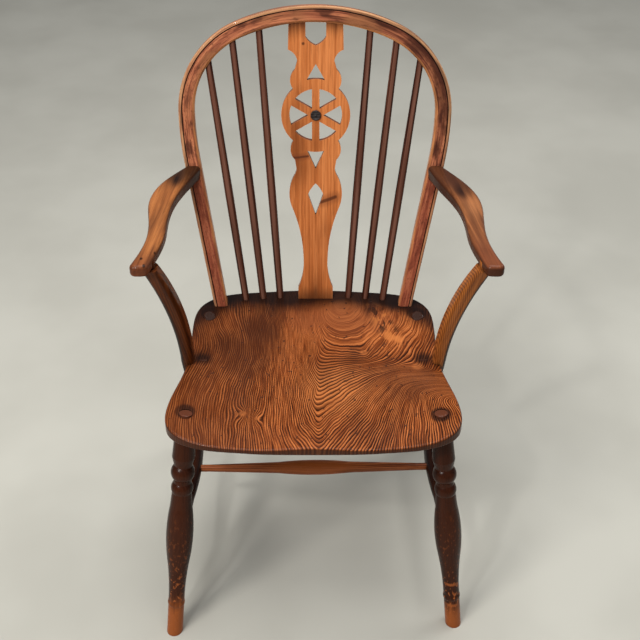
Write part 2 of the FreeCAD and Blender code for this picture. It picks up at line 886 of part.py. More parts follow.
def cross_end(side):
    """The end of the cross stretcher's tenon, just past the side stretcher's axis."""
    return side_stretcher_middle(side) + Vector(SIDES[side] * stretcher_bury(), 0, 0)


def cross_stretcher():
    start = cross_end("left")
    end = cross_end("right")
    blank = turned("cross_stretcher", stretcher_profile("cross_stretcher", "cross"))
    blank.Placement = between(start, end)
    return keep(blank)


# Bow


def bow_chain(offset, foot_rise):
    """Edges of the whole bow at an offset from its middle line, right foot to left foot."""
    arcs = bow_arcs(offset)
    slope = arcs["slope"]
    turn = arcs["turn"]
    foot = limb_point(foot_rise, offset)
    tangent = polar(arcs["side"], -slope)
    widest = polar(arcs["side"], 0)
    joint = polar(arcs["top"], turn)
    crown = polar(arcs["top"], math.pi / 2)
    side_mid = polar(arcs["side"], -slope / 2)
    shoulder_mid = polar(arcs["shoulder"], turn / 2)

    def flip(point):
        return Vector(-point.x, point.y, 0)

    return [
        Part.LineSegment(foot, tangent).toShape(),
        Part.Arc(tangent, side_mid, widest).toShape(),
        Part.Arc(widest, shoulder_mid, joint).toShape(),
        Part.Arc(joint, crown, flip(joint)).toShape(),
        Part.Arc(flip(joint), flip(shoulder_mid), flip(widest)).toShape(),
        Part.Arc(flip(widest), flip(side_mid), flip(tangent)).toShape(),
        Part.LineSegment(flip(tangent), flip(foot)).toShape(),
    ]


def bow_band(outer, inner, foot_rise):
    """The flat band between two offsets from the bow's middle line."""
    outside = bow_chain(outer, foot_rise)
    inside = bow_chain(inner, foot_rise)
    left = Part.LineSegment(outside[-1].Vertexes[-1].Point, inside[-1].Vertexes[-1].Point)
    right = Part.LineSegment(inside[0].Vertexes[0].Point, outside[0].Vertexes[0].Point)
    edges = outside + [left.toShape()] + inside + [right.toShape()]
    return Part.Face(Part.Wire(Part.__sortEdges__(edges)))


def chain_edges(shape, offset, depth):
    """The shape's edges that follow the bow at an offset and a depth below its front."""
    found = []
    arcs = bow_arcs(offset)
    for edge in shape.Edges:
        if abs(edge.BoundBox.ZMin + depth) > 0.01 or edge.BoundBox.ZLength > 0.01:
            continue
        middle = edge.valueAt((edge.FirstParameter + edge.LastParameter) / 2)
        x = abs(middle.x)
        widest = size("bow_widest_rise")
        on_limb = abs(x - limb_point(middle.y, offset).x) < 0.05 and middle.y < widest
        on_arc = any(abs((Vector(x, middle.y, 0) - centre).Length - radius) < 0.05
                     for centre, radius in (arcs["top"], arcs["shoulder"], arcs["side"]))
        if on_limb or on_arc:
            found.append(edge)
    return found


def bow_blank():
    """The bent bow with its bead, its back rounded and its feet cut to the deck."""
    half = size("bow_width") / 2
    thickness = size("bow_thickness")
    foot_rise = -thickness
    down = Vector(0, 0, -thickness)
    ring = bow_band(half, -half, foot_rise).extrude(down)
    back_edges = chain_edges(ring, half, thickness) + chain_edges(ring, -half, thickness)
    ring = ring.makeFillet(size("bow_back_round"), back_edges)
    ring = ring.makeFillet(size("bow_bead_round"), chain_edges(ring, half, 0))
    ring = ring.makeChamfer(size("bow_inner_chamfer"), chain_edges(ring, -half, 0))
    groove_outer = half - size("bow_bead_width")
    groove_inner = groove_outer - size("bow_groove_width")
    groove = bow_band(groove_outer, groove_inner, foot_rise - 1)
    ring = ring.cut(groove.extrude(Vector(0, 0, -size("bow_groove_depth"))))
    reach = size("bow_half_width") * 2
    below = Part.makeBox(2 * reach, 2 * reach, reach, Vector(-reach, -reach, -reach + size("fit_gap")))
    below.Placement = bow_frame().inverse() * Placement(Vector(0, 0, deck_z()), Rotation()) * below.Placement
    return ring.cut(below)


def bow_tenon(side):
    """The round tenon of one foot, through the seat and flush below."""
    start, down = limb_axis(side)
    up = size("bow_tenon_radius") / 2
    label = f"{side}_bow_tenon"
    return cylinder(label, "bow_tenon_radius", "2*seat_thickness", between(start - down * up, start))


def wedge_shape(side, grow):
    """The wedge driven up into one bow foot from under the seat."""
    start, down = limb_axis(side)
    bottom = size("seat_top-seat_thickness")
    end = start + down * ((start.z - bottom) / -down.z)
    head = size("wedge_head") / 2 + grow
    tip = size("wedge_tip") / 2 + grow
    length = size("wedge_length") + grow
    width = size("wedge_width") / 2 + grow
    tail = size("bow_tenon_radius")
    slope = (head - tip) / length
    corners = [Vector(head + slope * tail, -width, tail), Vector(tip, -width, -length),
               Vector(-tip, -width, -length), Vector(-head - slope * tail, -width, tail)]
    face = Part.Face(Part.makePolygon(corners + corners[:1]))
    wedge = face.extrude(Vector(0, 2 * width, 0))
    wedge.Placement = between(end, end + down)
    return wedge


def below_seat():
    """The block of space under the seat, for sawing tenons and wedges off flush."""
    reach = size("seat_widest_x") * 2
    bottom = size("seat_top-seat_thickness")
    return Part.makeBox(2 * reach, 2 * reach, reach, Vector(-reach, -reach, bottom - reach))


def bow():
    blank = fuse("bow_and_tenons", [feature("bow_bend", bow_blank(), bow_frame()),
                                    bow_tenon("left"), bow_tenon("right")])
    tools = [feature("under_seat_cut", below_seat())]
    for side, sign in SIDES.items():
        for name in STICKS:
            foot, top = stick_ends(name, side)
            up = (top - foot).normalize()
            start = top - up * size("stick_parallel")
            tools.append(cylinder(f"{side}_{name}_bow_hole", "stick_top_radius+fit_gap",
                                  "stick_parallel+stick_bow_depth+end_gap",
                                  between(start, start + up)))
        tools.append(feature(f"{side}_wedge_slot", wedge_shape(side, size("fit_gap"))))
        tools.append(arm_screw_hole(side, "bow"))
        notch = size("splat_notch_half")
        prong = size("splat_prong_half")
        left = min(sign * notch, sign * prong) - size("fit_gap")
        corner = Vector(left, size("splat_top_rise") - size("bow_width"), -size("splat_thickness+fit_gap"))
        tools.append(box(f"{side}_prong_mortise",
                         ("splat_prong_half-splat_notch_half+2*fit_gap", "bow_width+end_gap",
                          "splat_thickness+2*fit_gap"),
                         splat_frame() * Placement(corner, Rotation())))
    return keep(cut("bow", blank, tools))


def bow_wedges():
    tool = below_seat()
    wedges = [feature(f"{side}_wedge", wedge_shape(side, 0).cut(tool)) for side in SIDES]
    return keep(group("bow_wedges", wedges))


# Sticks


def stick(name, side):
    label = f"{side}_{name}_stick"
    foot, top = stick_ends(name, side)
    up = (top - foot).normalize()
    start = foot - up * size("stick_seat_depth")
    end = top + up * size("stick_bow_depth")
    foot_end = "stick_seat_depth+stick_parallel"
    top_start = f"{label}_length-stick_bow_depth-stick_parallel"
    blank = turned(label, [
        ("0", "0"),
        ("stick_foot_radius", "0"),
        ("stick_foot_radius", foot_end),
        ("stick_belly_radius", "stick_seat_depth+stick_belly_rise"),
        ("stick_top_radius", top_start),
        ("stick_top_radius", f"{label}_length"),
        ("0", f"{label}_length"),
    ])
    blank.Placement = between(start, end)
    return keep(blank)


# Splat and its wheel


def splat_half():
    """The right half of the splat's outline, counterclockwise from the middle of its foot."""
    lobe_x = "sqrt(wheel_radius^2-({0}-wheel_rise)^2)"
    low_rise = "wheel_rise-wheel_radius*wheel_lobe_share"
    high_rise = "wheel_rise+wheel_radius*wheel_lobe_share"
    low_x = lobe_x.format(f"({low_rise})")
    high_x = lobe_x.format(f"({high_rise})")
    return [
        ("0", "-splat_seat_depth"),
        ("splat_foot_half", "-splat_seat_depth"),
        ("splat_foot_half", "splat_foot_rise"),
        ("splat_ear_half", "splat_ear_rise"),
        ("splat_waist_half", "splat_waist_rise", "-splat_flare_bulge"),
        ("splat_hip_half", "splat_hip_rise", "-splat_hip_hollow"),
        ("splat_chin_half", "splat_belly_rise", "splat_belly_bulge"),
        ("splat_neck_half", "splat_neck_rise"),
        ("splat_chin_half", "splat_low_lobe_rise"),
        (low_x, low_rise, "splat_lobe_bulge"),
        (high_x, high_rise, f"wheel_radius-({low_x})"),
        ("splat_high_lobe_half", "splat_high_lobe_rise", "splat_lobe_bulge"),
        ("splat_cove_half", "splat_cove_rise"),
        ("splat_horn_half", "splat_horn_rise", "-splat_horn_hollow"),
        ("splat_prong_half", "splat_top_rise"),
        ("splat_notch_half", "splat_top_rise"),
        ("splat_notch_half", "splat_notch_rise"),
        ("0", "splat_notch_bottom_rise", "-splat_notch_bulge"),
    ]


def wheel_opening():
    """One gap of the wheel, pointing along x: two spoke edges and the rim's inner arc."""
    turn = "180deg/spoke_count"
    half = "spoke_width/2"
    reach = f"sqrt(wheel_inner_radius^2-({half})^2)"
    x = f"{reach}*cos({turn})+{half}*sin({turn})"
    y = f"{reach}*sin({turn})-{half}*cos({turn})"
    return [
        (f"{half}/sin({turn})", "0"),
        (x, f"-({y})"),
        (x, y, f"wheel_inner_radius-({x})"),
    ]


def splat():
    """Sawn from a thin board: half the outline is padded and mirrored, then pierced."""
    body = new_body("splat")
    half = outline(body, "XY_Plane", "splat_outline", splat_half())
    board = body.newObject("PartDesign::Pad", "splat_board")
    board.Profile = half
    bind(board, "Length", "splat_thickness")
    board.Reversed = True
    mirror = body.newObject("PartDesign::Mirrored", "splat_mirror")
    mirror.Originals = [board]
    mirror.MirrorPlane = (origin_plane(body, "YZ_Plane"), [""])
    body.Tip = mirror
    doc.recompute()
    gable = outline(body, "XY_Plane", "gable_outline", [
        ("-gable_half", "gable_base_rise"),
        ("gable_half", "gable_base_rise", "-gable_arch"),
        ("0", "gable_tip_rise"),
    ])
    pocket(body, gable, "gable_piercing")
    drop = outline(body, "XY_Plane", "drop_outline", [
        ("0", "drop_tip_rise"),
        ("drop_half", "drop_top_rise"),
        ("-drop_half", "drop_top_rise", "-drop_sag"),
    ])
    pocket(body, drop, "drop_piercing")
    kite = outline(body, "XY_Plane", "kite_outline", [
        ("0", "kite_bottom_rise"),
        ("kite_half", "kite_side_rise"),
        ("0", "kite_top_rise", "kite_bulge"),
        ("-kite_half", "kite_side_rise", "kite_bulge"),
    ])
    pocket(body, kite, "kite_piercing")
    opening = outline(body, "XY_Plane", "wheel_outline", wheel_opening(), raise_by="wheel_rise")
    first = pocket(body, opening, "wheel_piercing")
    ring = body.newObject("PartDesign::PolarPattern", "wheel_pattern")
    ring.Originals = [first]
    ring.Axis = (opening, ["N_Axis"])
    ring.Angle = 360
    ring.Occurrences = round(size("spoke_count"))
    body.Tip = ring
    body.Placement = splat_frame()
    hub = hub_frame() * Placement(Vector(0, 0, -size("button_spigot_length+end_gap")), Rotation())
    hole = cylinder("hub_hole", "button_spigot_radius+fit_gap", "2*button_spigot_length", hub)
    return keep(cut("splat", body, [hole]))


def hub_frame():
    """The middle of the wheel on the splat's front face, with z out of the face."""
    return splat_frame() * Placement(Vector(0, size("wheel_rise"), 0), Rotation())


def wheel_button():
    """The turned button at the hub: a rim, a dish and a pointed pip, on a spigot."""
    button = turned("wheel_button", [
        ("0", "-button_spigot_length"),
        ("button_spigot_radius", "-button_spigot_length"),
        ("button_spigot_radius", "0"),
        ("button_radius", "0"),
        ("button_radius", "button_height-button_rim/2"),
        ("button_radius-button_rim/2", "button_height"),
        ("button_dish_radius", "button_height-button_dish_depth"),
        ("button_pip_radius", "button_height-button_dish_depth"),
        ("0", "button_height"),
    ])
    button.Placement = hub_frame()
    return keep(button)


# Arms


ARM_STATIONS = ("shoulder", "elbow", "fore", "waist", "hand", "tip")


def arm_joint(side, offset=0.0):
    """A point of the bow's limb at the arm's top, on its front face, in the chair's frame."""
    rise = (size("arm_top") - deck_z()) / math.cos(math.radians(size("bow_rake")))
    return bow_frame().multVec(Vector(SIDES[side] * limb_point(rise, offset).x, rise, 0))


def arm_edge(side, edge):
    """One long edge of an arm, from behind the bow to the tip."""
    sign = SIDES[side]
    joint = arm_joint(side, size("bow_width") / 2 * (1 if edge == "outer" else -1))
    behind = size("bow_thickness")
    shoulder = Vector(sign * size(f"arm_shoulder_{edge}"), size("arm_shoulder_y"), 0)
    start = Vector(joint.x, joint.y, 0)
    points = [start + (start - shoulder).normalize() * behind, start]
    for station in ARM_STATIONS:
        y = size(f"arm_{station}_y")
        x = size(f"arm_{station}_{edge}") + arm_spread(side, y)
        points.append(Vector(sign * x, y, 0))
    curve = Part.BSplineCurve()
    curve.interpolate(points)
    return curve.toShape()


def arm_shape(side):
    """Sawn to its plan, tapered underneath, rounded over and cut to the bow's face."""
    outer = arm_edge(side, "outer")
    inner = arm_edge(side, "inner")
    tip_outer = outer.valueAt(outer.LastParameter)
    tip_inner = inner.valueAt(inner.LastParameter)
    middle = (tip_outer + tip_inner) / 2 + Vector(0, -size("arm_tip_bulge"), 0)
    tip = Part.Arc(tip_outer, middle, tip_inner).toShape()
    rear = Part.LineSegment(inner.valueAt(inner.FirstParameter), outer.valueAt(outer.FirstParameter))
    face = Part.Face(Part.Wire(Part.__sortEdges__([outer, tip, inner, rear.toShape()])))
    bottom = size("arm_top-arm_bow_thickness")
    face.translate(Vector(0, 0, bottom))
    plank = face.extrude(Vector(0, 0, size("arm_bow_thickness")))
    plank = plank.cut(under_arm_wedge(side))
    corners = [edge for edge in plank.Edges
               if edge.BoundBox.YMax < size("arm_tip_y") + 1 and edge.BoundBox.ZLength > 1]
    plank = plank.makeFillet(size("arm_tip_round"), corners)
    top = size("arm_top")
    joint_y = arm_joint(side).y
    round_over = [edge for edge in plank.Edges
                  if edge.BoundBox.ZMin > top - 0.01 and edge.BoundBox.YMin < joint_y - 1]
    plank = plank.makeFillet(size("arm_top_round"), round_over)
    under = top - size("arm_thickness")
    soften = [edge for edge in plank.Edges
              if abs(edge.BoundBox.ZMax - under) < 0.01 and edge.BoundBox.ZLength < 0.01
              and edge.BoundBox.YMax < size("arm_taper_y") + 1 and edge.BoundBox.YLength > 1]
    plank = plank.makeFillet(size("arm_under_round"), soften)
    return plank.cut(behind_bow_face())


def under_arm_wedge(side):
    """What the arm's underside loses, from nothing at the bow to the full taper."""
    low = size("arm_top-arm_bow_thickness")
    thin = size("arm_top-arm_thickness")
    reach = size("arm_tip_outer") * 2
    front = size("arm_tip_y") - reach
    joint_y = arm_joint(side).y
    corners = [Vector(-reach, front, low - 1), Vector(-reach, front, thin),
               Vector(-reach, size("arm_taper_y"), thin), Vector(-reach, joint_y, low),
               Vector(-reach, joint_y, low - 1)]
    face = Part.Face(Part.makePolygon(corners + corners[:1]))
    return face.extrude(Vector(2 * reach, 0, 0))


def behind_bow_face():
    """Everything behind the bow's front face, with the fit's gap kept clear."""
    reach = size("arm_top")
    block = Part.makeBox(2 * reach, 2 * reach, reach, Vector(-reach, -reach, size("fit_gap") - reach))
    block.Placement = bow_frame() * block.Placement
    return block


def arm_screw_frame(side):
    """The back of the bow behind an arm's end, with z forwards through the bow."""
    sign = SIDES[side]
    middle = size("arm_top-arm_bow_thickness/2-arm_screw_drop")
    rise = (middle - deck_z()) / math.cos(math.radians(size("bow_rake")))
    x = limb_point(rise).x + size("arm_screw_offset")
    place = Vector(sign * x, rise, -size("bow_thickness"))
    return bow_frame() * Placement(place, Rotation())


def screw_parts(label, frame, length, gap):
    """A countersunk screw, or the hole for one where the gap isn't zero."""
    head = cone(f"{label}_head", f"screw_head_radius+{gap}", f"screw_shank_radius+{gap}",
                "screw_head_depth", frame)
    shank = cylinder(f"{label}_shank", f"screw_shank_radius+{gap}", length, frame)
    return fuse(label, [head, shank])


def slotted_screw(label, frame, length):
    """A finished screw with one slot across its head."""
    blank = screw_parts(f"{label}_body", frame, length, "0")
    corner = Vector(-size("screw_head_radius"), -size("screw_slot_width") / 2, 0)
    slot = box(f"{label}_slot", ("2*screw_head_radius", "screw_slot_width", "screw_slot_depth"),
               frame * Placement(corner, Rotation()))
    item = doc.addObject("Part::Cut", label)
    item.Base = blank
    item.Tool = slot
    return item


def arm_screw_hole(side, where):
    label = f"{side}_arm_screw_hole_{where}"
    return screw_parts(label, arm_screw_frame(side), "bow_thickness+arm_screw_reach+end_gap", "fit_gap")


def arm_screws():
    screws = [slotted_screw(f"{side}_arm_screw", arm_screw_frame(side), "bow_thickness+arm_screw_reach")
              for side in SIDES]
    return keep(group("arm_screws", screws))


def arm(side):
    label = f"{side}_arm"
    blank = feature(f"{label}_plank", arm_shape(side))
    frame = support_top_frame(side)
    socket = cylinder(f"{label}_socket", "support_tenon_radius+fit_gap",
                      "support_tenon_length+end_gap+fit_gap", frame)
    return keep(cut(label, blank, [socket, arm_screw_hole(side, "arm")]))


# Arm supports


SUPPORT_STATIONS = ("foot", "deck", "knee", "thigh", "top")


def support_heights():
    deck = deck_z()
    return {
        "foot": size("seat_top-seat_thickness+support_foot_lift"),
        "deck": deck,
        "knee": deck + size("support_knee_rise"),
        "thigh": deck + size("support_thigh_rise"),
        "top": size("arm_top-arm_thickness-fit_gap"),
    }


def support_middle(side, station):
    x = size(f"support_{station}_x")
    y = size(f"support_{station}_y")
    height = support_heights()[station]
    share = max(height - deck_z(), 0) / (support_heights()["top"] - deck_z())
    spread = arm_spread(side, y) * share
    return Vector(SIDES[side] * (x + spread), y, height)


def rounded_section(middle, width, depth, corner):
    """A level rectangle with rounded corners, as a closed wire."""
    x = width / 2
    y = depth / 2
    cut_in = corner * (1 - math.sqrt(0.5))
    edges = []
    signs = ((1, -1), (1, 1), (-1, 1), (-1, -1))
    for index, (sx, sy) in enumerate(signs):
        before = Vector(sx * x, sy * (y - corner), 0)
        after = Vector(sx * (x - corner), sy * y, 0)
        if index % 2 == 0:
            before, after = after, before
        middle_point = Vector(sx * (x - cut_in), sy * (y - cut_in), 0)
        edges.append(Part.Arc(before, middle_point, after).toShape())
        following = signs[(index + 1) % 4]
        start = after
        if index % 2 == 0:
            end = Vector(following[0] * x, following[1] * (y - corner), 0)
        else:
            end = Vector(following[0] * (x - corner), following[1] * y, 0)
        edges.append(Part.LineSegment(start, end).toShape())
    wire = Part.Wire(edges)
    wire.translate(middle)
    return wire


def support_section(side, station, grow):
    width = size(f"support_{station}_width") + 2 * grow
    depth = size("support_depth") + 2 * grow
    return rounded_section(support_middle(side, station), width, depth, size("support_corner") + grow)


def support_shape(side, grow, notch=False):
    """The support's straight foot and curved upper part, or the space that its foot fills."""
    lower = [support_section(side, station, grow) for station in SUPPORT_STATIONS[:2]]
    if notch:
        under = lower[0].copy()
        over = lower[1].copy()
        step = support_middle(side, "deck") - support_middle(side, "foot")
        below = size("support_foot_lift") + size("support_corner")
        under.translate(step * (-below / step.z))
        over.translate(step * (size("support_corner") / step.z))
        return Part.makeLoft([under, over], True, True)
    upper = [support_section(side, station, grow) for station in SUPPORT_STATIONS[1:]]
    foot = Part.makeLoft(lower, True, True)
    return foot.fuse(Part.makeLoft(upper, True, False)).removeSplitter()


def support_top_frame(side):
    """The middle of the support's top, with z up into the arm."""
    return Placement(support_middle(side, "top"), Rotation())


def support_screw_frame(side, index):
    """The outside of the support's foot at one of its two screws, with z inwards."""
    inset = size("support_screw_inset")
    height = deck_z() - inset if index else size("seat_top-seat_thickness") + inset
    foot = support_middle(side, "foot")
    deck = support_middle(side, "deck")
    share = (height - foot.z) / (deck.z - foot.z)
    place = foot + (deck - foot) * share
    lean = deck - foot
    outwards = Vector(SIDES[side], 0, -SIDES[side] * lean.x / lean.z).normalize()
    place = place + outwards * support_half_width(share)
    return between(place, place - outwards)


def support_half_width(share):
    foot = size("support_foot_width") / 2
    deck = size("support_deck_width") / 2
    return foot + (deck - foot) * share - size("fit_gap")


def support_screw_hole(side, index):
    label = f"{side}_support_screw_hole_{index}"
    return screw_parts(label, support_screw_frame(side, index),
                       "support_deck_width+support_screw_reach+end_gap", "fit_gap")


def support_screws():
    screws = []
    for side in SIDES:
        for index in (0, 1):
            screws.append(slotted_screw(f"{side}_support_screw_{index}", support_screw_frame(side, index),
                                        "support_deck_width+support_screw_reach"))
    return keep(group("support_screws", screws))


def support(side):
    label = f"{side}_arm_support"
    post = feature(f"{label}_post", support_shape(side, 0))
    top = support_top_frame(side)
    root = top * Placement(Vector(0, 0, -size("support_corner")), Rotation())
    tenon = cylinder(f"{label}_tenon", "support_tenon_radius",
                     "support_tenon_length+support_corner", root)
    tools = []
    for index in (0, 1):
        frame = support_screw_frame(side, index)
        hole = screw_parts(f"{label}_hole_{index}", frame,
                           "support_deck_width+support_screw_reach+end_gap", "fit_gap")
        tools.append(hole)
    return keep(cut(label, fuse(f"{label}_and_tenon", [post, tenon]), tools))


def save():
    """Checks every object of the document and writes one file for each node."""
    doc.recompute()
    for item in doc.Objects:
        if "Invalid" in item.State or "Error" in item.State:
            raise RuntimeError(f"{item.Name} failed: {item.State}")
    os.makedirs("parts", exist_ok=True)
    for item in NODES:
        shape = item.Shape
        if shape.isNull() or not shape.isValid() or not shape.Solids:
            raise RuntimeError(f"{item.Label} is not a sound solid")
        shape.exportStep(f"parts/{item.Label}.step")


def build():
    work_out_sizes()
    seat()
    bow()
    bow_wedges()
    splat()
    wheel_button()
    for side in SIDES:
        for name in STICKS:
            stick(name, side)
        arm(side)
        support(side)
        for end in ("front", "rear"):
            leg(end, side)
        side_stretcher(side)
    cross_stretcher()
    arm_screws()
    support_screws()
    save()


build()
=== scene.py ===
"""Looks of the wheelback armchair: woods, polish, wear, a pale floor, soft light and the camera.

Metres, in the solid model's frame: +Z is up, the floor is z = 0 and the chair faces -Y.
"""

import math

import bpy
import numpy as np
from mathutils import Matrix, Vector

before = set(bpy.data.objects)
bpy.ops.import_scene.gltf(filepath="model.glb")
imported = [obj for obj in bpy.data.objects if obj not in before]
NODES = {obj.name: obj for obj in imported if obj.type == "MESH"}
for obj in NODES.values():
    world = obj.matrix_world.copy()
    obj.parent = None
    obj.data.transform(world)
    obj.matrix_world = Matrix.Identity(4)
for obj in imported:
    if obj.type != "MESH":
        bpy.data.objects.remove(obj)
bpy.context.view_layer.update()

# Camera, where the photograph was taken from: metres, degrees below level, millimetres
CAMERA_PLACE = (0.0, -1.310, 1.482)
CAMERA_PITCH = 37.6
CAMERA_LENS = 58.7
CAMERA_SHIFT = 0.0102
CAMERA_SENSOR = 36.0

# Polish: how deep the relief is in metres, and how strongly bare wood and its varnish shine
RELIEF_DEPTH = 0.0006
WOOD_SPECULAR = 0.08
VARNISH_ROUGHNESS = 0.08

# Cosines between a surface and its rounded self, for edges lighter from wear and as painted highlight: at a
# corner, and on a flat
CORNER_COSINE = 0.80
FLAT_COSINE = 0.995
# Open sky seen from a shaded corner, and from an open face, for painted shade in corners
SHADED_SKY = 0.25
OPEN_SKY = 0.85
SHADE_SAMPLES = 4


class Num:
    """A number that varies over a surface. Sums and products of it become a material's nodes."""

    def __init__(self, graph, socket):
        self.graph = graph
        self.socket = socket

    def act(self, operation, *others):
        return self.graph.math(operation, self, *others)

    def __add__(self, other):
        return self.act("ADD", other)

    def __sub__(self, other):
        return self.act("SUBTRACT", other)

    def __rsub__(self, other):
        return self.graph.math("SUBTRACT", other, self)

    def __mul__(self, other):
        return self.act("MULTIPLY", other)

    def __truediv__(self, other):
        return self.act("DIVIDE", other)

    __radd__ = __add__
    __rmul__ = __mul__

    def most(self, other):
        return self.act("MAXIMUM", other)

    def least(self, other):
        return self.act("MINIMUM", other)

    def root(self):
        return self.act("SQRT")

    def exponent(self):
        return self.act("EXPONENT")

    def fraction(self):
        return self.act("FRACT")

    def plain(self):
        return self.act("ABSOLUTE")

    def sign(self):
        return self.act("SIGN")

    def ease(self, low, high, start=0.0, end=1.0):
        """A smooth step from start to end as the number goes from low to high."""
        node = self.graph.add("ShaderNodeMapRange", interpolation_type="SMOOTHSTEP")
        for socket, number in zip(node.inputs, (self, low, high, start, end)):
            self.graph.set(socket, number)
        return Num(self.graph, node.outputs[0])


class Graph:
    """A short way to write a material's nodes."""

    def __init__(self, name):
        self.material = bpy.data.materials.new(name)
        self.material.use_nodes = True
        self.tree = self.material.node_tree
        self.tree.nodes.clear()

    def add(self, kind, **settings):
        node = self.tree.nodes.new(kind)
        for key, value in settings.items():
            setattr(node, key, value)
        return node

    def set(self, socket, value):
        if isinstance(value, Num):
            value = value.socket
        if isinstance(value, bpy.types.NodeSocket):
            self.tree.links.new(value, socket)
        else:
            socket.default_value = value

    def math(self, operation, *values):
        node = self.add("ShaderNodeMath", operation=operation)
        for socket, value in zip(node.inputs, values):
            self.set(socket, value)
        return Num(self, node.outputs[0])

    def vector_math(self, operation, *values):
        node = self.add("ShaderNodeVectorMath", operation=operation)
        for socket, value in zip(node.inputs, values):
            self.set(socket, value)
        return node

    def place(self):
        """The place in the chair's frame, at rest."""
        return self.add("ShaderNodeTexCoord").outputs["Object"]

    def split(self, vector):
        node = self.add("ShaderNodeSeparateXYZ")
        self.set(node.inputs[0], vector)
        return [Num(self, socket) for socket in node.outputs]

    def join(self, x, y, z):
        node = self.add("ShaderNodeCombineXYZ")
        for socket, value in zip(node.inputs, (x, y, z)):
            self.set(socket, value)
        return node.outputs[0]

    def dot(self, vector, axis):
        return Num(self, self.vector_math("DOT_PRODUCT", vector, axis).outputs[1])

    def noise(self, vector, scales, offset=(0, 0, 0), detail=2.0, roughness=0.5):
        """Noise from 0 to 1, about 0.5, with its own scale along each axis."""
        scaled = self.vector_math("MULTIPLY", vector, scales).outputs[0]
        moved = self.vector_math("ADD", scaled, offset).outputs[0]
        node = self.add("ShaderNodeTexNoise")
        self.set(node.inputs["Vector"], moved)
        self.set(node.inputs["Scale"], 1.0)
        self.set(node.inputs["Detail"], detail)
        self.set(node.inputs["Roughness"], roughness)
        return Num(self, node.outputs[0])

    def mix(self, share, first, second):
        node = self.add("ShaderNodeMix", data_type="RGBA", blend_type="MIX")
        self.set(node.inputs["Factor"], share)
        for socket, value in ((node.inputs["A"], first), (node.inputs["B"], second)):
            self.set(socket, value if isinstance(value, bpy.types.NodeSocket) else rgba(value))
        return node.outputs["Result"]

    def ramp(self, value, stops):
        node = self.add("ShaderNodeValToRGB")
        self.set(node.inputs[0], value)
        bar = node.color_ramp
        for index, (place, colour) in enumerate(stops):
            stop = bar.elements[index] if index < 2 else bar.elements.new(place)
            stop.position = place
            stop.color = rgba(colour)
        return node.outputs[0]

    def near(self, vector, centre, radius, softness=0.6):
        """1 at centre, easing to 0 at radius. Radius may be one number or one for each axis."""
        reach = Vector((radius, radius, radius)) if isinstance(radius, float) else Vector(radius)
        away = self.vector_math("SUBTRACT", vector, centre).outputs[0]
        shares = self.vector_math("DIVIDE", away, reach).outputs[0]
        distance = Num(self, self.vector_math("LENGTH", shares).outputs[1])
        return distance.ease(1 - softness, 1.0, 1.0, 0.0)

    def stroke(self, vector, start, end, width):
        """1 on a thin straight mark from start to end, 0 off it."""
        start, end = Vector(start), Vector(end)
        along = (end - start).normalized()
        away = self.vector_math("SUBTRACT", vector, start).outputs[0]
        share = self.dot(away, along).most(0.0).least((end - start).length)
        foot = self.vector_math("SCALE", along)
        self.set(foot.inputs["Scale"], share)
        apart = self.vector_math("SUBTRACT", away, foot.outputs[0]).outputs[0]
        distance = Num(self, self.vector_math("LENGTH", apart).outputs[1])
        return distance.ease(width * 0.3, width, 1.0, 0.0)

    def facing(self, direction):
        """How squarely the surface faces a direction, from -1 to 1."""
        normal = self.add("ShaderNodeNewGeometry").outputs["Normal"]
        return self.dot(normal, Vector(direction).normalized())

    def lit_and_worn_edge(self, radius):
        """1 where the surface turns a corner within radius, 0 on its flats: edges lighter from wear and as
        painted highlight.
        """
        bevel = self.add("ShaderNodeBevel", samples=SHADE_SAMPLES)
        self.set(bevel.inputs["Radius"], radius)
        normal = self.add("ShaderNodeNewGeometry").outputs["Normal"]
        return self.dot(bevel.outputs[0], normal).ease(CORNER_COSINE, FLAT_COSINE, 1.0, 0.0)

    def corner_shade(self, distance):
        """Painted shade: 1 in the corners where pieces meet, 0 in the open."""
        shade = self.add("ShaderNodeAmbientOcclusion", samples=SHADE_SAMPLES)
        self.set(shade.inputs["Distance"], distance)
        return Num(self, shade.outputs["AO"]).ease(SHADED_SKY, OPEN_SKY, 1.0, 0.0)

    def polish(self, colour, roughness, height, bump, coat, coat_roughness=VARNISH_ROUGHNESS):
        """Polished wood with a relief, on the material's output."""
        relief = self.add("ShaderNodeBump")
        relief.inputs["Distance"].default_value = RELIEF_DEPTH
        relief.inputs["Strength"].default_value = bump
        self.set(relief.inputs["Height"], height)
        shader = self.add("ShaderNodeBsdfPrincipled")
        self.set(shader.inputs["Base Color"], colour)
        self.set(shader.inputs["Roughness"], roughness)
        shader.inputs["Specular IOR Level"].default_value = WOOD_SPECULAR
        shader.inputs["Coat Weight"].default_value = coat
        shader.inputs["Coat Roughness"].default_value = coat_roughness
        self.set(shader.inputs["Normal"], relief.outputs[0])
        output = self.add("ShaderNodeOutputMaterial")
        self.tree.links.new(shader.outputs[0], output.inputs[0])
        return self.material


def rgba(colour):
    return (*colour, 1.0) if len(colour) == 3 else colour


def wear_material(obj, material):
    """Give a piece one material in place of what it had."""
    obj.data.materials.clear()
    obj.data.materials.append(material)


def long_axes(obj):
    """A piece's middle and its three axes, the last one along its length."""
    places = np.empty(len(obj.data.vertices) * 3)
    obj.data.vertices.foreach_get("co", places)
    places = places.reshape(-1, 3)
    middle = (places.min(axis=0) + places.max(axis=0)) / 2
    spread, axes = np.linalg.eigh(np.cov((places - places.mean(axis=0)).T))
    order = np.argsort(spread)
    return Vector(middle), [Vector(axes[:, column]) for column in order]


def board_place(graph, obj):
    """A place in the piece's own axes: across, across and along the grain."""
    middle, axes = long_axes(obj)
    away = graph.vector_math("SUBTRACT", graph.place(), middle).outputs[0]
    return graph.join(*[graph.dot(away, axis) for axis in axes])


